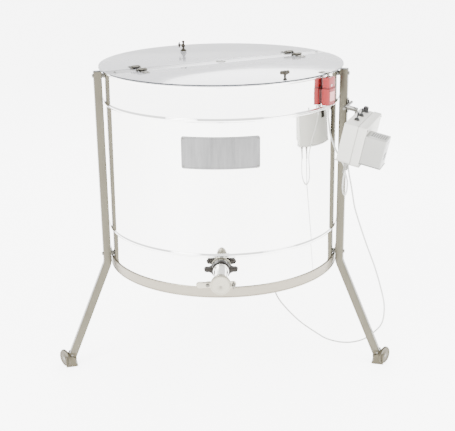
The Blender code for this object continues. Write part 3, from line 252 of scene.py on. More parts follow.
class Piece:
    """One visible piece: shapes are added to it in named frames, then it is closed onto its body."""

    def __init__(self, name, body, slot, *materials):
        self.name, self.body, self.slot, self.materials = name, body, slot, materials
        self.bm = bmesh.new()

    def add(self, bm, place, index):
        bmesh.ops.recalc_face_normals(bm, faces=bm.faces)
        for face in bm.faces:
            face.material_index = index
        bm.transform(place)
        part = bpy.data.meshes.new("part")
        bm.to_mesh(part)
        bm.free()
        self.bm.from_mesh(part)
        bpy.data.meshes.remove(part)

    def turn(self, outline, place=Matrix(), steps=32, index=0):
        """A closed outline of (radius, z) points spun round the local Z axis."""
        bm = bmesh.new()
        rings = []
        for radius, z in outline:
            if radius < 1e-6:
                rings.append([bm.verts.new((0, 0, z))] * steps)
                continue
            rings.append([
                bm.verts.new((radius * cos(a), radius * sin(a), z))
                for a in (2 * pi * step / steps for step in range(steps))
            ])
        for number, ring in enumerate(rings):
            following = rings[(number + 1) % len(rings)]
            for step in range(steps):
                after = (step + 1) % steps
                corners = [ring[step], ring[after], following[after], following[step]]
                corners = [v for spot, v in enumerate(corners) if v not in corners[:spot]]
                if len(corners) > 2:
                    bm.faces.new(corners)
        self.add(bm, place, index)

    def prism(self, outline, low, high, place=Matrix(), index=0, bevel=0.0):
        """A closed outline in the local XY plane, extruded along Z, its rims rounded off."""
        bm = bmesh.new()
        bottom = [bm.verts.new((x, y, low)) for x, y in outline]
        top = [bm.verts.new((x, y, high)) for x, y in outline]
        bm.faces.new(bottom)
        bm.faces.new(top)
        for number in range(len(outline)):
            after = (number + 1) % len(outline)
            bm.faces.new((bottom[number], bottom[after], top[after], top[number]))
        if bevel:
            bm.normal_update()
            rims = [e for e in bm.edges if e.calc_face_angle(0) > radians(40)]
            bmesh.ops.bevel(bm, geom=rims, offset=bevel, segments=3, affect="EDGES", profile=0.5)
        self.add(bm, place, index)

    def block(self, low, high, place=Matrix(), index=0, bevel=0.0):
        outline = [(low[0], low[1]), (high[0], low[1]), (high[0], high[1]), (low[0], high[1])]
        self.prism(outline, low[2], high[2], place, index, bevel)

    def rod(self, radius, low, high, place=Matrix(), steps=24, index=0):
        chamfer = min(radius * 0.15, (high - low) * 0.2)
        outline = [(0, low), (radius - chamfer, low), (radius, low + chamfer), (radius, high - chamfer),
                (radius - chamfer, high), (0, high)]
        self.turn(outline, place, steps, index)

    def hexagon(self, across, low, high, place=Matrix(), index=0):
        corner = across / sqrt(3)
        self.prism(arc((0, 0), corner, 0, 300, 5), low, high, place, index, across * 0.04)

    def screw(self, radius, place=Matrix(), index=0, recess_shade_index=None):
        """A domed screw head, its seat at local Z = 0; its cross recess, when asked for, is not cut but drawn
        as dark bars, painted shade.
        """
        dome = [(0, -0.0005), (radius, -0.0005), (radius, radius * 0.2), (radius * 0.8, radius * 0.45),
                (radius * 0.4, radius * 0.58), (0, radius * 0.6)]
        self.turn(dome, place, 20, index)
        if recess_shade_index is not None:
            # Bars in the given dark material stand for the cross recess: painted shade.
            for angle in (0.3, 0.3 + pi / 2):
                self.block((-radius * 0.55, -radius * 0.12, radius * 0.3),
                        (radius * 0.55, radius * 0.12, radius * 0.62), place @ turn_z(angle), recess_shade_index)

    def done(self, *nodes, angle=32):
        mesh = bpy.data.meshes.new(self.name)
        self.bm.to_mesh(mesh)
        self.bm.free()
        mesh.shade_smooth()
        mesh.set_sharp_from_angle(angle=radians(angle))
        for each in self.materials:
            mesh.materials.append(each)
        obj = link(self.name, mesh)
        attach(obj, self.body)
        if nodes:
            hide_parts(*nodes)
        return obj


def arc(centre, radius, start, end, steps):
    points = []
    for step in range(steps + 1):
        angle = radians(start + (end - start) * step / steps)
        points.append((centre[0] + radius * cos(angle), centre[1] + radius * sin(angle)))
    return points


def rounded(width, height, radius, steps=5, centre=(0, 0)):
    points = []
    for corner, (sx, sy) in enumerate(((1, 1), (-1, 1), (-1, -1), (1, -1))):
        middle = (centre[0] + sx * (width / 2 - radius), centre[1] + sy * (height / 2 - radius))
        points += arc(middle, radius, corner * 90, corner * 90 + 90, steps)
    return points


# Camera and studio
def camera():
    data = bpy.data.cameras.new("camera")
    view = link("camera", data)
    data.sensor_width = SENSOR
    data.lens = LENS
    data.shift_x = 0.0004
    data.shift_y = -0.0168
    ahead = Vector((sin(YAW) * cos(PITCH), cos(YAW) * cos(PITCH), -sin(PITCH)))
    right = Vector((cos(YAW), -sin(YAW), 0))
    down = ahead.cross(right)
    across = cos(ROLL) * right + sin(ROLL) * down
    downward = -sin(ROLL) * right + cos(ROLL) * down
    place = Matrix((across, -downward, -ahead)).transposed().to_4x4()
    place.translation = EYE
    view.matrix_world = place
    bpy.context.scene.camera = view


def studio():
    world = bpy.data.worlds.new("studio")
    bpy.context.scene.world = world
    world.use_nodes = True
    sky = world.node_tree.nodes["Background"]
    sky.inputs["Color"].default_value = (1.0, 1.0, 1.0, 1.0)
    sky.inputs["Strength"].default_value = SKY_STRENGTH
    mesh = bpy.data.meshes.new("floor")
    corners = [(x * FLOOR_HALF, y * FLOOR_HALF, 0) for x, y in ((-1, -1), (1, -1), (1, 1), (-1, 1))]
    mesh.from_pydata(corners, [], [(0, 1, 2, 3)])
    floor = link("floor", mesh)
    floor.location.z = -FLOOR_DROP
    pale = bpy.data.materials.new("pale_floor")
    pale.use_nodes = True
    shader = pale.node_tree.nodes["Principled BSDF"]
    shader.inputs["Base Color"].default_value = (0.92, 0.92, 0.92, 1)
    shader.inputs["Roughness"].default_value = 0.9
    shader.inputs["Emission Color"].default_value = (1, 1, 1, 1)
    shader.inputs["Emission Strength"].default_value = FLOOR_GLOW
    mesh.materials.append(pale)
    for name, place, size, power in LIGHTS:
        light = bpy.data.lights.new(name, "AREA")
        light.shape = "DISK"
        light.size = size
        light.energy = power
        lamp = link(name, light)
        lamp.location = place
        towards = Vector((0, AXIS_Y, 0.7)) - Vector(place)
        lamp.rotation_euler = towards.to_track_quat("-Z", "Y").to_euler()


# Cables
def smooth_route(points, fine=24):
    smooth = []
    for number in range(len(points) - 1):
        before = points[max(number - 1, 0)]
        start, end = points[number], points[number + 1]
        after = points[min(number + 2, len(points) - 1)]
        for step in range(fine):
            t = step / fine
            smooth.append(0.5 * (2 * start + (end - before) * t
                                 + (2 * before - 5 * start + 4 * end - after) * t**2
                                 + (3 * start - before - 3 * end + after) * t**3))
    return [*smooth, points[-1]]


def evenly_spaced(points, count):
    along = [0.0]
    for first, second in zip(points, points[1:]):
        along.append(along[-1] + (second - first).length)
    spaced = []
    number = 0
    for place in range(count):
        target = along[-1] * place / (count - 1)
        while number < len(points) - 2 and along[number + 1] < target:
            number += 1
        share = (target - along[number]) / (along[number + 1] - along[number])
        spaced.append(points[number].lerp(points[number + 1], min(share, 1.0)))
    return spaced


def gland_point(node, below):
    """A point under a gland of the control box, so far below the gland's end."""
    return BOX @ Vector((*GLANDS[node], -BOX_HEIGHT - GLAND_LENGTH - below))


def in_machine(points):
    return [MACHINE @ Vector(point) for point in points]


def cable(name, node, route, count, reliefs):
    points = evenly_spaced(smooth_route(route), count)
    curve = bpy.data.curves.new(name, "CURVE")
    curve.dimensions = "3D"
    curve.bevel_depth = CABLE / 2
    curve.bevel_resolution = 5
    curve.resolution_u = 8
    curve.use_fill_caps = True
    spline = curve.splines.new("BEZIER")
    spline.bezier_points.add(count - 1)
    for knot, point in zip(spline.bezier_points, points):
        knot.co = point
        knot.handle_left_type = knot.handle_right_type = "AUTO"
    curve.materials.append(SHEATH)
    obj = link(name, curve)
    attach(obj, "frame")
    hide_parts(node)
    for number, (first, second, surface) in enumerate(reliefs):
        sleeve = Piece(f"{name}_relief_{number + 1}", "frame", "cable_sheath", surface)
        towards = (second - first).to_track_quat("Z", "Y").to_matrix().to_4x4()
        outline = [(CABLE / 2 + 0.0002, 0.0), (0.005, 0.0), (0.005, 0.004)]
        for rib in range(5):
            level = 0.005 + rib * 0.0042
            wide = 0.0049 - rib * 0.00025
            outline += [(wide - 0.0006, level), (wide - 0.0006, level + 0.0014), (wide, level + 0.0018),
                    (wide, level + 0.0036)]
        outline += [(0.0036, 0.0265), (CABLE / 2 + 0.0002, 0.0265)]
        sleeve.turn(outline, Matrix.Translation(first) @ towards, 20)
        sleeve.done()


def cables():
    middle = SWITCH_BACK + SWITCH_DEPTH / 2
    switch_end = SWITCH @ Vector((middle, 0, SWITCH_LOW - 0.02 - GAP))
    route = [
        switch_end,
        switch_end - Vector((0, 0, 0.02)),
        *in_machine([
            (0.39, -0.275, 1.01), (0.395, -0.285, 0.976), (0.41, -0.298, 0.932),
            (0.428, -0.307, 0.896), (0.445, -0.312, 0.861), (0.442, -0.308, 0.814),
            (0.4405, -0.312, 0.778), (0.4455, -0.335, 0.764), (0.45, -0.358, 0.79),
            (0.4495, -0.362, 0.829),
        ]),
        gland_point("switch_cable_gland", 0.015),
        gland_point("switch_cable_gland", GAP),
    ]
    cable("switch_cable_run", "switch_cable", route, 34,
            [(route[0], route[1], WHITE), (route[-1], route[-2], GLAND)])
    motor_box_low, motor_box_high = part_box("motor_terminal_box")
    motor_end = Vector((motor_box_high.x + GAP, AXIS_Y + 0.2, (motor_box_low.z + motor_box_high.z) / 2))
    route = [
        gland_point("motor_cable_gland", GAP),
        gland_point("motor_cable_gland", 0.02),
        *in_machine([
            (0.462, -0.327, 0.835), (0.475, -0.325, 0.765), (0.489, -0.315, 0.699),
            (0.532, -0.29, 0.571), (0.573, -0.26, 0.462), (0.601, -0.24, 0.375),
            (0.625, -0.215, 0.283), (0.631, -0.185, 0.213), (0.627, -0.155, 0.162),
            (0.607, -0.11, 0.108), (0.568, -0.085, 0.063), (0.528, -0.08, 0.05),
            (0.478, -0.08, 0.049), (0.424, -0.085, 0.066), (0.391, -0.09, 0.087),
            (0.316, -0.1, 0.146), (0.258, -0.095, 0.203), (0.219, -0.07, 0.246),
            (0.205, -0.03, 0.27), (0.198, 0.05, 0.29), (0.185, 0.125, 0.312),
            (0.165, 0.176, 0.33), (0.14, 0.198, 0.341),
        ]),
        motor_end + Vector((0.015, 0, 0)),
        motor_end,
    ]
    cable("motor_cable_run", "motor_cable", route, 40,
            [(route[0], route[1], GLAND), (route[-1], route[-2], DARK)])


# Drum
def drum():
    wall = Piece("drum_wall", "frame", "polished_stainless_drum", MIRROR)
    outer, inner = RADIUS, RADIUS - SHEET
    outline = [(inner, BOTTOM_Z + 0.002), (outer, BOTTOM_Z + 0.002)]
    for level in (LOWER_BEAD_Z, UPPER_BEAD_Z):
        outline += [(outer, level - 0.0085), (outer + 0.0003, level - 0.0068)]
        outline += [(outer + 0.0004 + 0.0035 * cos(a), level + 0.0052 * sin(a))
                    for a in (radians(-75 + 150 * step / 8) for step in range(9))]
        outline += [(outer + 0.0003, level + 0.0068), (outer, level + 0.0085)]
    outline += [(outer, RIM_Z - 0.011)]
    outline += [(outer + 0.0036 * sin(radians(a)), RIM_Z - 0.0055 - 0.005 * cos(radians(a)))
                for a in range(15, 181, 15)]
    outline += [(inner, RIM_Z - 0.0005)]
    wall.turn(outline, MACHINE, 288)
    shell = wall.done("drum_shell")
    cutter = Piece("outlet_cutter", "frame", "polished_stainless_drum", MIRROR)
    cutter.turn([(0, RADIUS - 0.03), (0.0253, RADIUS - 0.03), (0.0253, RADIUS + 0.03), (0, RADIUS + 0.03)],
            GATE,
            48)
    tool = cutter.done()
    cut = shell.modifiers.new("Outlet", "BOOLEAN")
    cut.operation = "DIFFERENCE"
    cut.solver = "EXACT"
    cut.object = tool
    graph = bpy.context.evaluated_depsgraph_get()
    cut_mesh = bpy.data.meshes.new_from_object(shell.evaluated_get(graph))
    shell.modifiers.clear()
    shell.data = cut_mesh
    bpy.data.objects.remove(tool, do_unlink=True)

    band = Piece("foot_band", "frame", "satin_stainless", BAND, MIRROR_FOOT)
    inside, outside = RADIUS + GAP, REACH
    top = band_high.z
    band.turn([(inside, BOTTOM_Z), (outside - 0.0008, BOTTOM_Z), (outside, BOTTOM_Z + 0.0012),
            (outside, BOTTOM_Z + 0.004), (outside - 0.0012, BOTTOM_Z + 0.0052),
            (outside - 0.0012, top - 0.0052),
            (outside, top - 0.004), (outside, top - 0.0012), (outside - 0.0008, top), (inside, top)],
            MACHINE, 288)
    band.done("base_band")

    collar = Piece("outlet_weld_collar", "frame", "polished_stainless", GATE_STEEL)
    collar.turn([(0.0253, RADIUS - 0.001), (0.0345, RADIUS - 0.001), (0.0335, RADIUS + 0.0016),
            (0.0285, RADIUS + 0.0026), (0.0262, RADIUS + 0.005), (0.0253, RADIUS + 0.005)], GATE, 48)
    collar.done()


def leg_line():
    splay = atan2(LEG_END[0] - LEG_CENTRE, LEG_BEND_Z - LEG_END[1])
    bend = 0.06
    setback = bend * tan(splay / 2)
    path = [(LEG_CENTRE, LEG_TOP_Z), (LEG_CENTRE, LEG_BEND_Z + setback)]
    for step in range(1, 11):
        turn = splay * step / 10
        path.append((LEG_CENTRE + bend * (1 - cos(turn)), LEG_BEND_Z + setback - bend * sin(turn)))
    path.append(LEG_END)
    return path, splay


def legs():
    path, splay = leg_line()
    section = rounded(LEG_SIZE, LEG_SIZE, 0.0035, 4)
    for side, place in LEGS.items():
        leg = Piece(f"leg_tube_{side}", "frame", "leg_stainless", TUBE, CAP_AND_RECESS_SHADE)
        bm = bmesh.new()
        rings = []
        for number, (x, z) in enumerate(path):
            before, after = Vector(path[max(number - 1, 0)]), Vector(path[min(number + 1, len(path) - 1)])
            run = (after - before).normalized()
            rings.append([bm.verts.new((x - run.y * a, b, z + run.x * a)) for a, b in section])
        for first, second in zip(rings, rings[1:]):
            for spot in range(len(section)):
                after = (spot + 1) % len(section)
                bm.faces.new((first[spot], first[after], second[after], second[spot]))
        bm.faces.new(rings[0])
        bm.faces.new(rings[-1])
        leg.add(bm, place, 0)
        cap = rounded(LEG_SIZE - 0.003, LEG_SIZE - 0.003, 0.003, 4, (LEG_CENTRE, 0))
        leg.prism(cap, LEG_TOP_Z - 0.002, LEG_TOP_Z + 0.0022, place, 1, 0.0012)
        for face in (-1, 1):
            seam = LEG_SIZE / 2 - 0.0002
            leg.block((LEG_CENTRE - 0.0003, face * seam - 0.0003, LEG_BEND_Z + 0.03),
                    (LEG_CENTRE + 0.0003, face * seam + 0.0003, LEG_TOP_Z - 0.004), place, 0)
        leg.done(f"leg_{side}")
        for level, height in BOLT_LEVELS.items():
            bolt = Piece(f"standoff_bolt_{side}_{level}", "frame", "fastener_steel", FASTENER, CAP_AND_RECESS_SHADE)
            spot = place @ at(0, 0, height) @ OUTWARD
            bolt.turn([(0, RADIUS + 2 * GAP), (0.0098, RADIUS + 2 * GAP), (0.01, RADIUS + 0.0016),
                    (0.0085, RADIUS + 0.003), (0.0082, LEG_INNER - 0.003), (0.0098, LEG_INNER - 0.0016),
                    (0.0098, LEG_INNER - GAP), (0, LEG_INNER - GAP)], spot, 28)
            bolt.turn([(0, LEG_OUTER), (0.008, LEG_OUTER), (0.008, LEG_OUTER + 0.0012),
                    (0, LEG_OUTER + 0.0012)],
                    spot, 28)
            bolt.hexagon(0.0118, LEG_OUTER + 0.0011, LEG_OUTER + 0.005, spot)
            bolt.done(f"leg_bolt_{side}_{level}")
        foot(side, place, splay)


def foot(side, place, splay):
    end = Vector(LEG_END)
    down = Vector((sin(splay), -cos(splay)))
    across = Vector((cos(splay), sin(splay)))
    saddle = end + down * GAP
    cheek = 0.035
    face = FOOT_REACH - 0.01
    casting = Piece(f"cast_foot_{side}", "frame", "foot_casting", CAST, FASTENER)
    sole = [(FOOT_REACH - 0.054, 0.0034), (FOOT_REACH - 0.052, 0.0012), (FOOT_REACH - 0.047, 0.0),
            (face + 0.003, 0.0), (face + 0.003, 0.044)]
    sole += [tuple(saddle + across * 0.016), tuple(saddle - across * 0.016)]
    sole += [(FOOT_REACH - 0.0475, 0.026), (FOOT_REACH - 0.0462, 0.019), (FOOT_REACH - 0.0485, 0.012),
            (FOOT_REACH - 0.053, 0.0075)]
    casting.prism(sole, -0.0215, 0.0215, place @ turn_x(pi / 2))
    disc = [(0, 0), (cheek - 0.002, 0), (cheek, 0.002), (cheek, 0.0065), (cheek - 0.0022, 0.0092),
            (cheek - 0.006, 0.008), (0.016, 0.0074), (0.0135, 0.0085), (0, 0.0085)]
    spot = place @ at(face, 0, cheek) @ turn_z(radians(CHEEK_SWING[side])) @ OUTWARD
    casting.turn(disc, spot, 64)
    casting.hexagon(0.013, 0.008, 0.01, spot, 1)
    for edge in (-1, 1):
        casting.block((LEG_END[0] - 0.012, edge * 0.0142 - 0.0016, 0.03),
                (LEG_END[0] + 0.014, edge * 0.0142 + 0.0016, 0.058), place, 0, 0.001)
        casting.rod(0.0045, 0.0155, 0.0185, place @ at(LEG_END[0] + 0.003, 0, 0.049) @ turn_x(edge * pi / 2),
                20, 1)
    casting.done(f"foot_{side}")


# Lids
def lids():
    for name, side in (("front", -1), ("rear", 1)):
        edge = BAR_WIDTH / 2 + 0.0025
        start = degrees(asin(edge / LID_RADIUS))
        outline = [(x, side * y) for x, y in arc((0, 0), LID_RADIUS, start, 180 - start, 120)]
        lid = Piece(f"lid_sheet_{name}", f"{name}_lid", "smoky_acrylic", ACRYLIC, ACRYLIC_EDGE_SHADE)
        lid.prism(outline, LID_BOTTOM_Z, LID_TOP_Z, BAR, 0, 0.0008)
        # The sheet's edge faces get the near-black material: painted shade along the lid's edges.
        for face in lid.bm.faces:
            if abs(face.normal.z) < 0.75:
                face.material_index = 1
        lid.done(f"lid_{name}")
        for end, station in HINGE_STATIONS.items():
            hinge = Piece(f"lid_hinge_{name}_{end}", f"{name}_lid", "fastener_steel", FASTENER, CAP_AND_RECESS_SHADE)
            pin = BAR @ at(station, side * HINGE_OFFSET, LID_TOP_Z + HINGE_RISE)
            low = -HINGE_RISE + GAP
            leaf = rounded(0.025, 0.044, 0.004, 4, (0, side * 0.023))
            hinge.prism(leaf, low, low + 0.0024, pin, 0, 0.0006)
            hinge.turn([(0.0029, -0.0125), (0.0052, -0.0125), (0.0058, -0.0119), (0.0058, 0.0119),
                    (0.0052, 0.0125), (0.0029, 0.0125)], pin @ OUTWARD, 28)
            for x in (-0.007, 0.007):
                for y in (0.018, 0.036):
                    hinge.screw(0.0028, pin @ at(x, side * y, low + 0.0024), 0, 1)
            hinge.done(f"hinge_{name}_{end}")


def crossbar():
    half = BAR_WIDTH / 2
    end = LID_RADIUS - 0.002
    bar = Piece("crossbar_channel", "frame", "satin_stainless", BAR_STEEL, FASTENER)
    corner = degrees(asin(half / end))
    outline = arc((0, 0), end, -corner, corner, 8) + arc((0, 0), end, 180 - corner, 180 + corner, 8)
    bar.prism(outline, LID_TOP_Z - 0.0022, LID_TOP_Z - 0.0002, BAR, 0, 0.0007)
    for side in (-1, 1):
        near, far = sorted((side * (half - 0.003), side * (half - 0.0008)))
        bar.block((-0.44, near, LID_BOTTOM_Z - 0.024), (0.44, far, LID_TOP_Z - 0.001), BAR, 0, 0.0005)
        inner, outer = sorted((side * (half - 0.01), side * (half - 0.001)))
        bar.block((-0.438, inner, LID_BOTTOM_Z - 0.0248), (0.438, outer, LID_BOTTOM_Z - 0.0226), BAR, 0,
                0.0005)
        for station in HINGE_STATIONS.values():
            for reach in (-1, 1):
                middle = station + reach * 0.017
                lug = [(side * (half - 0.01), LID_TOP_Z - 0.001), (side * (half - 0.002), LID_TOP_Z - 0.001),
                        (side * (HINGE_OFFSET + 0.002), LID_TOP_Z + 0.0022)]
                lug += [(side * (HINGE_OFFSET + 0.0042 * cos(radians(a)) * 0.5),
                        LID_TOP_Z + HINGE_RISE + 0.0038 * sin(radians(a))) for a in (0, 45, 90, 135)]
                lug += [(side * (half - 0.01), LID_TOP_Z + 0.003)]
                turned = Matrix(((0, 0, 1, 0), (1, 0, 0, 0), (0, 1, 0, 0), (0, 0, 0, 1)))
                bar.prism(lug, middle - 0.0028, middle + 0.0028, BAR @ turned, 1, 0.0005)
            bar.rod(0.0024, -0.0198, 0.0198, BAR @ at(station, side * HINGE_OFFSET,
                    LID_TOP_Z + HINGE_RISE) @ OUTWARD, 20, 1)
    for station in (-0.432, 0.432):
        bar.screw(0.005, BAR @ at(station, 0, LID_TOP_Z - 0.0002), 1)
    bar.turn([(0, LID_TOP_Z - 0.0004), (0.02, LID_TOP_Z - 0.0004), (0.019, LID_TOP_Z + 0.001),
            (0, LID_TOP_Z + 0.001)], BAR, 48, 1)
    for quarter in range(4):
        bar.screw(0.003, BAR @ turn_z(pi / 4 + quarter * pi / 2) @ at(0.014, 0, LID_TOP_Z + 0.001), 1)
    bar.done("crossbar")


def wing(span, hub, lobe):
    reach = span / 2 - lobe
    return (arc((reach, 0), lobe, -120, 120, 12) + arc((0, 0), hub, 60, 120, 4)
            + arc((-reach, 0), lobe, 60, 300, 12) + arc((0, 0), hub, 240, 300, 4))


def knobs():
    base = LID_TOP_Z + GAP
    front = Piece("front_wing_screw", "front_knob", "dark_casting", KNOB_METAL, FASTENER)
    spot = BAR @ at(0.017, -0.446, base)
    front.turn([(0, 0), (0.007, 0), (0.007, 0.0014), (0.0062, 0.0022), (0.0062, 0.0038), (0.004, 0.005),
            (0.004, 0.016), (0.0078, 0.018), (0.0078, 0.0255), (0.005, 0.027), (0, 0.027)], spot, 32, 0)
    for ring in range(4):
        front.turn([(0.0038, 0.0062 + ring * 0.0024), (0.0046, 0.007 + ring * 0.0024),
                (0.0038, 0.0078 + ring * 0.0024)], spot, 24, 1)
    front.prism(wing(0.036, 0.006, 0.006), -0.0026, 0.0026, spot @ at(0, 0, 0.025) @ turn_x(pi / 2), 0,
            0.0012)
    front.done("lid_knob_front")
    rear = Piece("rear_lid_post", "rear_lid", "dark_casting", KNOB_METAL, FASTENER)
    spot = BAR @ at(-0.012, 0.31, base) @ turn_z(-BAR_ANGLE)
    rear.turn([(0, 0), (0.013, 0), (0.0128, 0.002), (0.011, 0.0042), (0.0055, 0.0085), (0.0042, 0.012),
            (0.0045, 0.0145), (0.007, 0.0172), (0.008, 0.0205), (0.0078, 0.023), (0.006, 0.0265),
            (0.004, 0.029), (0.004, 0.0328), (0.0058, 0.0352), (0.006, 0.038), (0.0046, 0.0408),
            (0.002, 0.042), (0, 0.042)], spot, 36, 0)
    rear.rod(0.0029, -0.0118, 0.0, spot @ at(0, 0, 0.0245) @ OUTWARD, 20, 1)
    for quarter in range(3):
        rear.screw(0.0018, spot @ turn_z(quarter * 2.1) @ at(0.0098, 0, 0.004), 1)
    rear.done("lid_post_rear")
    cross = Piece("rear_cross_knob", "cross_knob", "dark_casting", KNOB_METAL, FASTENER)
    hub = spot @ at(-0.012 - GAP, 0, 0.0245) @ turn_y(-pi / 2)
    cross.turn([(0, 0), (0.0055, 0), (0.006, 0.001), (0.006, 0.0075), (0.0045, 0.0088), (0, 0.0088)], hub,
            28, 0)
    for angle in (45, 135):
        cross.prism(rounded(0.026, 0.0058, 0.0028, 5), 0.0016, 0.0064, hub @ turn_z(radians(angle)), 0, 0.001)
    cross.done("lid_cross_knob")


# Front of the drum
def name_plate():
    low, high = plate_low.z, plate_high.z
    radius = RADIUS + 2 * GAP
    half = radians(17.7)
    centre = (low + high) / 2
    width, height = 2 * half * radius, high - low
    plate = Piece("blank_name_plate", "frame", "brushed_plate", PLATE, PLATE_LINE, FASTENER)

    def curved(outline, inner, outer, index, columns=40):
        bm = bmesh.new()
        top = [bm.verts.new((x, y, outer)) for x, y in outline]
        bottom = [bm.verts.new((x, y, inner)) for x, y in outline]
        bm.faces.new(top)
        bm.faces.new(list(reversed(bottom)))
        for number in range(len(outline)):
            after = (number + 1) % len(outline)
            bm.faces.new((bottom[number], bottom[after], top[after], top[number]))
        for step in range(1, columns):
            x = -width / 2 + width * step / columns
            bmesh.ops.bisect_plane(bm, geom=[*bm.verts, *bm.edges, *bm.faces], plane_co=(x, 0, 0),
                    plane_no=(1, 0, 0))
        for vert in bm.verts:
            angle = vert.co.x / radius - pi / 2
            reach = radius + vert.co.z
            vert.co = (reach * cos(angle), reach * sin(angle), centre + vert.co.y)
        plate.add(bm, MACHINE, index)

    curved(rounded(width, height, 0.008, 6), 0.0, 0.0012, 0)
    for dx, dy, w, h in ((0, height / 2 - 0.006, width - 0.024, 0.0009),
            (0, 0.006 - height / 2, width - 0.024, 0.0009)):
        curved([(dx - w / 2, dy - h / 2), (dx + w / 2, dy - h / 2), (dx + w / 2, dy + h / 2),
                (dx - w / 2, dy + h / 2)], 0.001, 0.00135, 1)
    for sx in (-1, 1):
        for sz in (-1, 1):
            angle = -pi / 2 + sx * (width / 2 - 0.008) / radius
            plate.screw(0.0026, MACHINE @ turn_z(angle) @ at(radius + 0.001, 0,
                    centre + sz * (height / 2 - 0.008))
                        @ OUTWARD, 2)
    plate.done("name_plate")


def outlet():
    wall_end = RADIUS - SHEET
    body_back = GATE_REACH - 0.052
    nut_front = AXIS_Y - nut_low.y
    nut_back = AXIS_Y - nut_high.y
    pipe = Piece("outlet_tube", "frame", "polished_stainless", PIPE)
    pipe.turn([(0.023, wall_end), (0.025, wall_end), (0.025, nut_front + GAP), (0.0288, nut_front + GAP),
            (0.029, nut_front + 0.0015), (0.0278, nut_front + 0.006), (0.0252, nut_front + 0.0066),
            (0.025, nut_front + 0.008), (0.025, body_back - GAP), (0.023, body_back - GAP)], GATE, 64)
    pipe.done("outlet_pipe")
    nut = Piece("outlet_union_nut", "nut", "dark_casting", NUT)
    nut.turn([(0.026, nut_back), (0.0315, nut_back), (0.033, nut_back + 0.001), (0.034, nut_back + 0.0035),
            (0.034, nut_front - 0.0035), (0.033, nut_front - 0.001), (0.0315, nut_front), (0.026, nut_front)],
            GATE, 64)
    lug = [(0.026, -0.02), (0.034, -0.0125), (0.042, -0.0078), *arc((0.0515, 0), 0.0078, -90, 90, 10),
            (0.042, 0.0078), (0.034, 0.0125), (0.026, 0.02)]
    for angle in (0, pi):
        nut.prism(lug, nut_back + 0.0065, nut_front - 0.0065, GATE @ turn_z(angle), 0, 0.0018)
    for step in range(12):
        angle = radians(15 + step * 30)
        if abs(cos(angle)) < 0.8:
            nut.block((0.0325, -0.0022, nut_back + 0.004), (0.0347, 0.0022, nut_front - 0.004),
                    GATE @ turn_z(angle), 0, 0.0008)
    nut.done("union_nut")

    front = GATE_REACH - 0.02
    mouth = Piece("gate_mouth", "frame", "gate_stainless", GATE_STEEL, NUT)
    mouth.turn([(0.023, body_back), (0.0262, body_back), (0.027, body_back + 0.001), (0.027, front - 0.0125),
            (0.03, front - 0.0105), (0.034, front - 0.0085), (0.0345, front - 0.0075),
            (0.0345, front - 0.0006),
            (0.034, front), (0.0245, front), (0.024, front - 0.001), (0.023, front - 0.001)], GATE, 64)
    for angle in (0, pi):
        ear = [(0.029, -0.009), *arc((0.044, 0), 0.009, -90, 90, 12), (0.029, 0.009)]
        mouth.prism(ear, front - 0.0075, front - 0.0005, GATE @ turn_z(angle), 0, 0.0008)
    mouth.done("gate_body")

    back = front + GAP
    flap = Piece("gate_swing_flap", "flap", "gate_stainless", GATE_STEEL, NUT)
    flap.turn([(0, back), (0.0345, back), (0.0355, back + 0.0012), (0.0355, back + 0.0048),
            (0.0348, back + 0.006),
               (0.0322, back + 0.007), (0.0316, back + 0.0062), (0.03, back + 0.0062), (0.0294, back + 0.007),
               (0.005, back + 0.007), (0.004, back + 0.0064), (0, back + 0.0064)], GATE, 72)
    pivot = GATE @ at(-0.044, 0, 0)
    lever = [(0.02, -0.0075), (0.0, -0.01), *arc((-0.028, 0), 0.011, 270, 90, 12), (0.0, 0.01),
            (0.02, 0.0075)]
    flap.prism(lever, back + 0.001, back + 0.006, pivot, 0, 0.001)
    screw_x, slot = 0.088, 0.0046
    hook = [(0.07, 0.013), (0.07, -0.014), (screw_x - slot, -0.0085), (screw_x - slot, slot),
            (screw_x + slot, slot), (screw_x + slot, -0.003), *arc((screw_x, 0.0045), 0.0095, -20, 90, 8)]
    flap.prism(hook, back + 0.001, back + 0.006, pivot, 0)
    flap.turn([(0.0336, back - 0.0002), (0.0349, back - 0.0002), (0.0349, back + 0.0009),
            (0.0336, back + 0.0009)],
            GATE, 72, 1)
    flap.done("gate_flap")
    face = back + 0.006
    rear = front - 0.0075
    for name, body, x, node in (("gate_hinge_bolt", "frame", -0.044, "gate_pivot_bolt"),
            ("gate_thumb_screw", "clamp_screw", 0.044, "gate_clamp_screw")):
        bolt = Piece(name, body, "fastener_steel", FASTENER)
        spot = GATE @ at(x, 0, 0)
        bolt.hexagon(0.0125, rear - 0.0042, rear - GAP, spot)
        bolt.rod(0.004, rear - 0.001, face + 0.002, spot)
        if body == "frame":
            bolt.turn([(0, face + GAP), (0.007, face + GAP), (0.007, face + 0.0014), (0.0058, face + 0.0032),
                    (0.003, face + 0.0044), (0, face + 0.0046)], spot, 28)
        else:
            bolt.turn([(0, face + GAP), (0.0075, face + GAP), (0.0075, face + 0.0016), (0.006, face + 0.003),
                       (0.0052, GATE_REACH - 0.002), (0.004, GATE_REACH - 0.0004), (0,
                               GATE_REACH - 0.0004)], spot, 28)
            bolt.prism(wing(0.026, 0.004, 0.0045), -0.0018, 0.0018, spot @ at(0, 0, face + 0.008)
                       @ turn_z(pi / 2) @ turn_x(pi / 2), 0, 0.0009)
        bolt.done(node)


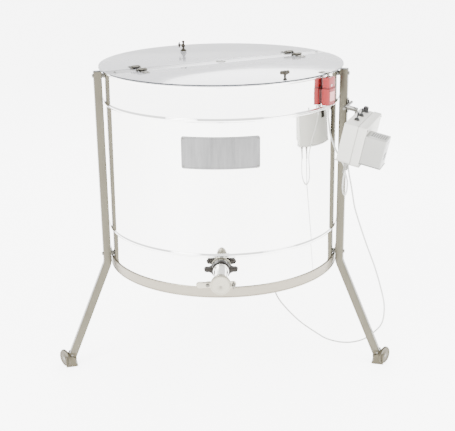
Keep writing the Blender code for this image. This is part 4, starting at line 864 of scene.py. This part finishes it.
# Lid interlock
def interlock():
    back, depth, half = SWITCH_BACK, SWITCH_DEPTH, 0.026
    waist = SWITCH_LOW + 0.06
    body = Piece("interlock_body", "frame", "red_plastic", RED, RED_SHADE, LABEL, WHITE)
    body.prism(rounded(depth, 2 * half, 0.006, 5, (back + depth / 2, 0)), SWITCH_LOW, waist - 0.0015, SWITCH,
            0,
            0.0022)
    body.prism(rounded(depth - 0.004, 2 * half - 0.005, 0.005, 5, (back + depth / 2, 0)), waist - 0.003,
            waist + 0.003, SWITCH, 1)
    body.prism(rounded(depth - 0.002, 2 * half - 0.004, 0.006, 5, (back + depth / 2, 0)), waist + 0.0015,
            SWITCH_HIGH, SWITCH, 0, 0.002)
    face = back + depth
    out = SWITCH @ at(face, 0, 0) @ OUTWARD
    body.prism(rounded(0.034, 0.03, 0.003, 4, (-SWITCH_LOW - 0.03, 0)), -0.0004, 0.0005, out, 2)
    for z, y in ((SWITCH_LOW + 0.007, 0.018), (SWITCH_LOW + 0.052, -0.018)):
        body.screw(0.003, SWITCH @ at(face, y, z) @ OUTWARD, 1)
    body.screw(0.0042, SWITCH @ at(face - 0.001, -0.004, waist + 0.01) @ OUTWARD, 3, 1)
    body.block((back + 0.009, -0.009, SWITCH_HIGH - 0.002), (back + 0.015, 0.009, SWITCH_HIGH + 0.0002),
            SWITCH, 1)
    body.block((RADIUS + 2 * GAP, -0.02, SWITCH_LOW + 0.006), (back + 0.001, 0.02, waist - 0.006), SWITCH, 1)
    body.done("interlock_switch")
    gland = Piece("interlock_gland", "frame", "white_plastic", WHITE)
    spot = SWITCH @ at(back + depth / 2, 0, SWITCH_LOW)
    gland.hexagon(0.0155, -0.0045, -GAP, spot)
    gland.turn([(0, -0.004), (0.0078, -0.004), (0.008, -0.006), (0.008, -0.012), (0.0066, -0.015),
            (0.0052, -0.0196), (0, -0.0196)], spot, 36)
    for step in range(12):
        gland.block((0.0074, -0.0008, -0.012), (0.0088, 0.0008, -0.0055), spot @ turn_z(step * pi / 6), 0)
    gland.done("switch_gland")
    key = Piece("interlock_tongue", "front_lid", "fastener_steel", FASTENER, CAP_AND_RECESS_SHADE)
    slot_x = back + 0.012
    key.block((LID_RADIUS - 0.03, -0.012, LID_TOP_Z + GAP),
            (slot_x + 0.0015, 0.012, LID_TOP_Z + GAP + 0.0028),
            SWITCH, 0, 0.0006)
    key.block((slot_x - 0.0015, -0.007, SWITCH_HIGH - 0.014), (slot_x + 0.0015, 0.007, LID_TOP_Z + 0.002),
            SWITCH,
            0, 0.0004)
    for y in (-0.006, 0.006):
        key.screw(0.0028, SWITCH @ at(LID_RADIUS - 0.02, y, LID_TOP_Z + GAP + 0.0028), 0, 1)
    key.done("interlock_key")


# Control box
def control_box():
    front, back = BOX_SPAN
    height = BOX_HEIGHT
    base = Piece("box_housing", "frame", "light_grey_plastic", CASE, CASE_DARK, BLACK, FASTENER)
    base.block((0, front, -height), (BASE_WIDTH, back, 0), BOX, 0, 0.0035)
    base.block((BASE_WIDTH - 0.003, front + 0.002, -height + 0.002),
            (BASE_WIDTH + GAP, back - 0.002, -0.002), BOX,
            1)
    for along in (RUN_ALONG, DIRECTION_ALONG):
        spot = BOX @ at(CONTROL_ACROSS, along, 0)
        base.hexagon(0.0185, 0.0, 0.0022, spot, 3)
        base.turn([(0, 0.002), (0.0095, 0.002), (0.0098, 0.0034), (0.009, 0.0046), (0.0076, 0.0056),
                (0.0078, 0.0066), (0.006, 0.0078), (0.0058, 0.0088), (0.0046, 0.0104), (0, 0.0104)], spot,
                32, 2)
    for step in range(11):
        angle = radians(-135 + step * 27)
        base.block((0.015, -0.0004, -0.0001), (0.018, 0.0004, 0.0003),
                BOX @ at(CONTROL_ACROSS, DIAL_ALONG, 0) @ turn_z(angle), 2)
    base.done("box_base")

    cover = Piece("box_lid", "frame", "light_grey_plastic", CASE, CASE_DARK, FASTENER)
    near, far = BASE_WIDTH + GAP, BASE_WIDTH + COVER_WIDTH
    cover.block((near, front - 0.002, -height - 0.002), (far, back + 0.002, 0.002), BOX, 0, 0.004)
    for along in (front + 0.008, back - 0.008):
        for drop in (-0.008, -height + 0.008):
            cover.screw(0.0036, BOX @ at(far - 0.0001, along, drop) @ OUTWARD, 2, 1)
    cover.done("box_cover")

    inner, outer = far + GAP, far + 0.075
    end = front + 0.09
    drive = Piece("speed_drive", "frame", "light_grey_plastic", PANEL, CASE_DARK, DISPLAY, BLACK)
    drive.block((inner, front, -0.129), (outer, end, -0.026), BOX, 0, 0.003)
    drive.block((inner + 0.001, front - 0.0008, -0.1296), (outer - 0.001, end, -0.1262), BOX, 1, 0.001)
    # Dark bars across the drive's top stand for vent slots, none cut: painted shade.
    for step in range(7):
        spot = outer - 0.01 - step * 0.008
        drive.block((spot - 0.0025, front + 0.02, -0.0262), (spot + 0.0025, end - 0.02, -0.0255), BOX, 1)
    face = BOX @ at(outer, (front + end) / 2, -0.078) @ OUTWARD
    drive.prism(rounded(0.016, 0.04, 0.002, 4, (-0.026, 0)), -0.0004, 0.0006, face, 2)
    for row in range(2):
        for column in range(3):
            drive.prism(rounded(0.008, 0.01, 0.002, 4, (0.006 + row * 0.013, (column - 1) * 0.015)), -0.0004,
                    0.001, face, 3, 0.0003)
    drive.done("speed_controller")

    for name, body, along, node in (("run_lever", "run_toggle", RUN_ALONG, "run_switch"),
            ("direction_lever", "direction_toggle", DIRECTION_ALONG, "direction_switch")):
        lever = Piece(name, body, "black_plastic", BLACK)
        lever.turn([(0, 0.0108), (0.0018, 0.0112), (0.003, 0.0132), (0.0029, 0.019), (0.0036, 0.023),
                (0.0042, 0.0262), (0.0041, 0.0278), (0.0034, 0.0292), (0.0018, 0.0299), (0, 0.03)],
                BOX @ at(CONTROL_ACROSS, along, 0), 28)
        lever.done(node)
    knob = Piece("speed_dial", "knob", "black_plastic", BLACK, WHITE)
    spot = BOX @ at(CONTROL_ACROSS, DIAL_ALONG, GAP)
    knob.turn([(0, 0), (0.012, 0), (0.012, 0.0014), (0.011, 0.003), (0.0094, 0.0044), (0.0088, 0.0175),
            (0.008, 0.02), (0.007, 0.0208), (0, 0.0208)], spot, 40)
    for step in range(18):
        knob.block((0.0086, -0.0007, 0.005), (0.0098, 0.0007, 0.018), spot @ turn_z(step * pi / 9), 0)
    knob.block((0.001, -0.0005, 0.0206), (0.0075, 0.0005, 0.0211), spot, 1)
    knob.done("speed_knob")

    for node, (across, along) in GLANDS.items():
        gland = Piece(node.replace("cable_gland", "lead_gland"), "frame", "grey_plastic", GLAND)
        spot = BOX @ at(across, along, -height)
        gland.hexagon(0.015, -0.0055, -GAP, spot)
        gland.turn([(0, -0.005), (0.0074, -0.005), (0.0078, -0.0062), (0.0076, -0.0095), (0.0058, -0.0125),
                (0.0049, -0.0168), (0, -0.0168)], spot, 32)
        gland.done(node)

    arm = Piece("box_mount", "frame", "fastener_steel", FASTENER, KNOB_METAL)
    rod_r, rod_z = 0.494, BOTTOM_Z + 0.639
    leg = LEGS["right"]
    arm.block((LEG_OUTER + GAP, -0.017, rod_z - 0.03), (LEG_OUTER + 0.0033, 0.017, rod_z + 0.02), leg, 0,
            0.001)
    arm.rod(0.0058, -0.08, 0.045, BOX_SIDE @ at(rod_r, 0, rod_z) @ turn_x(pi / 2), 28)
    arm.prism(rounded(0.0495, 0.035, 0.004, 4, (-0.0252, -0.0175)), 0.0008, 0.0093, BOX, 0, 0.0012)
    arm.block((-0.0045, -0.034, -0.05), (-0.0006, -0.001, 0.006), BOX, 0, 0.0008)
    for height_at in (-0.018, 0.01):
        arm.hexagon(0.01, LEG_OUTER + 0.003, LEG_OUTER + 0.0072, leg @ at(0, 0, rod_z + height_at) @ OUTWARD,
                1)
    arm.screw(0.004, BOX @ at(-0.011, -0.0175, 0.0092), 1)
    for drop in (-0.02, -0.04):
        arm.screw(0.003, BOX @ at(-0.0044, -0.0175, drop) @ turn_y(-pi / 2), 1)
    arm.done("box_bracket")


# Drive under the drum and the basket inside it
def drive_and_basket():
    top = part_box("motor")[1].z
    spot = MACHINE @ at(0, 0.2, top)
    motor = Piece("motor_casing", "frame", "motor_paint", PAINT, FASTENER, DARK)
    motor.turn([(0, -0.025), (0.009, -0.025), (0.009, 0), (0.0355, 0), (0.036, -0.0008), (0.036, -0.01),
            (0.05, -0.013), (0.051, -0.015), (0.051, -0.139), (0.0575, -0.142), (0.058, -0.144),
            (0.058, -0.174), (0.056, -0.178), (0.05, -0.1818), (0, -0.1818)], spot, 56)
    for step in range(28):
        motor.block((0.0505, -0.0009, -0.136), (0.0549, 0.0009, -0.018), spot @ turn_z(step * pi / 14), 0)
    # Dark radial bars on the motor's end stand for the fan cover's slots, none cut: painted shade.
    for step in range(10):
        motor.block((0.018, -0.0018, -0.1822), (0.046, 0.0018, -0.1812), spot @ turn_z(step * pi / 5), 2)
    for step in range(4):
        motor.screw(0.0035, spot @ turn_z(pi / 4 + step * pi / 2) @ at(0.029, 0, -0.0002), 1)
    motor.done("motor")

    box_low, box_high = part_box("motor_terminal_box")
    middle = (box_low + box_high) / 2
    case_end = box_high.x - 0.014
    terminal = Piece("motor_lead_box", "frame", "dark_plastic", DARK, FASTENER)
    terminal.block((box_low.x, box_low.y, box_low.z), (case_end - 0.008, box_high.y, box_high.z), Matrix(), 0,
            0.003)
    terminal.block((case_end - 0.0075, box_low.y, box_low.z), (case_end, box_high.y, box_high.z), Matrix(), 0,
            0.003)
    for y in (box_low.y + 0.007, box_high.y - 0.007):
        for z in (box_low.z + 0.007, box_high.z - 0.007):
            terminal.screw(0.0026, at(case_end - 0.0001, y, z) @ OUTWARD, 1)
    terminal.hexagon(0.0165, 0.0, 0.005, at(case_end - 0.0005, middle.y, middle.z) @ OUTWARD)
    terminal.turn([(0, 0.004), (0.0078, 0.004), (0.0078, 0.008), (0.0062, 0.011), (0.0054, 0.0138),
            (0, 0.0138)], at(case_end, middle.y, middle.z) @ OUTWARD, 28)
    terminal.done("motor_terminal_box")

    section = 0.01
    for name, node in (("lower_comb_wheel", "basket_lower_wheel"),
            ("upper_comb_wheel", "basket_upper_wheel")):
        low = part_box(node)[0].z + 0.004
        high = low + section
        wheel = Piece(name, "rotor", "satin_stainless", SATIN, FASTENER)
        for inner, outer, bottom, up in ((0.41, 0.42, low, high), (0.1, 0.108, low + 0.001, high - 0.001)):
            wheel.turn([(inner + 0.001, bottom), (outer - 0.001, bottom), (outer, bottom + 0.001),
                    (outer, up - 0.001), (outer - 0.001, up), (inner + 0.001, up), (inner, up - 0.001),
                    (inner, bottom + 0.001)], MACHINE, 128)
        wheel.turn([(0.0128, low - 0.004), (0.025, low - 0.004), (0.026, low - 0.003), (0.026, high + 0.009),
                (0.025, high + 0.01), (0.0128, high + 0.01)], MACHINE, 48)
        for quarter in range(4):
            spoke = MACHINE @ turn_z(quarter * pi / 2)
            wheel.block((0.022, -0.004, low + 0.0015), (0.414, 0.004, high - 0.0015), spoke, 0, 0.0008)
            wheel.screw(0.0026, spoke @ turn_z(pi / 4) @ at(0.0255, 0, high + 0.004) @ OUTWARD, 1)
            for station in (0.15, 0.2, 0.25, 0.3, 0.35):
                wheel.rod(0.0016, 0.003, 0.0042, spoke @ at(station, 0, (low + high) / 2) @ turn_x(pi / 2),
                        12, 1)
        wheel.done(node)

    finishes = {
        SATIN: ("drum_floor", "rotor_shaft", "basket_post_1", "basket_post_2", "basket_post_3", "motor_beam"),
        FASTENER: ("upper_bearing", "lower_bearing", "rotor_pulley", "motor_pulley"),
        BELT: ("drive_belt",),
    }
    for finish, names in finishes.items():
        for name in names:
            for slot in NODES[name].material_slots:
                slot.material = finish


camera()
studio()
cables()
drum()
legs()
lids()
crossbar()
knobs()
name_plate()
outlet()
interlock()
control_box()
drive_and_basket()
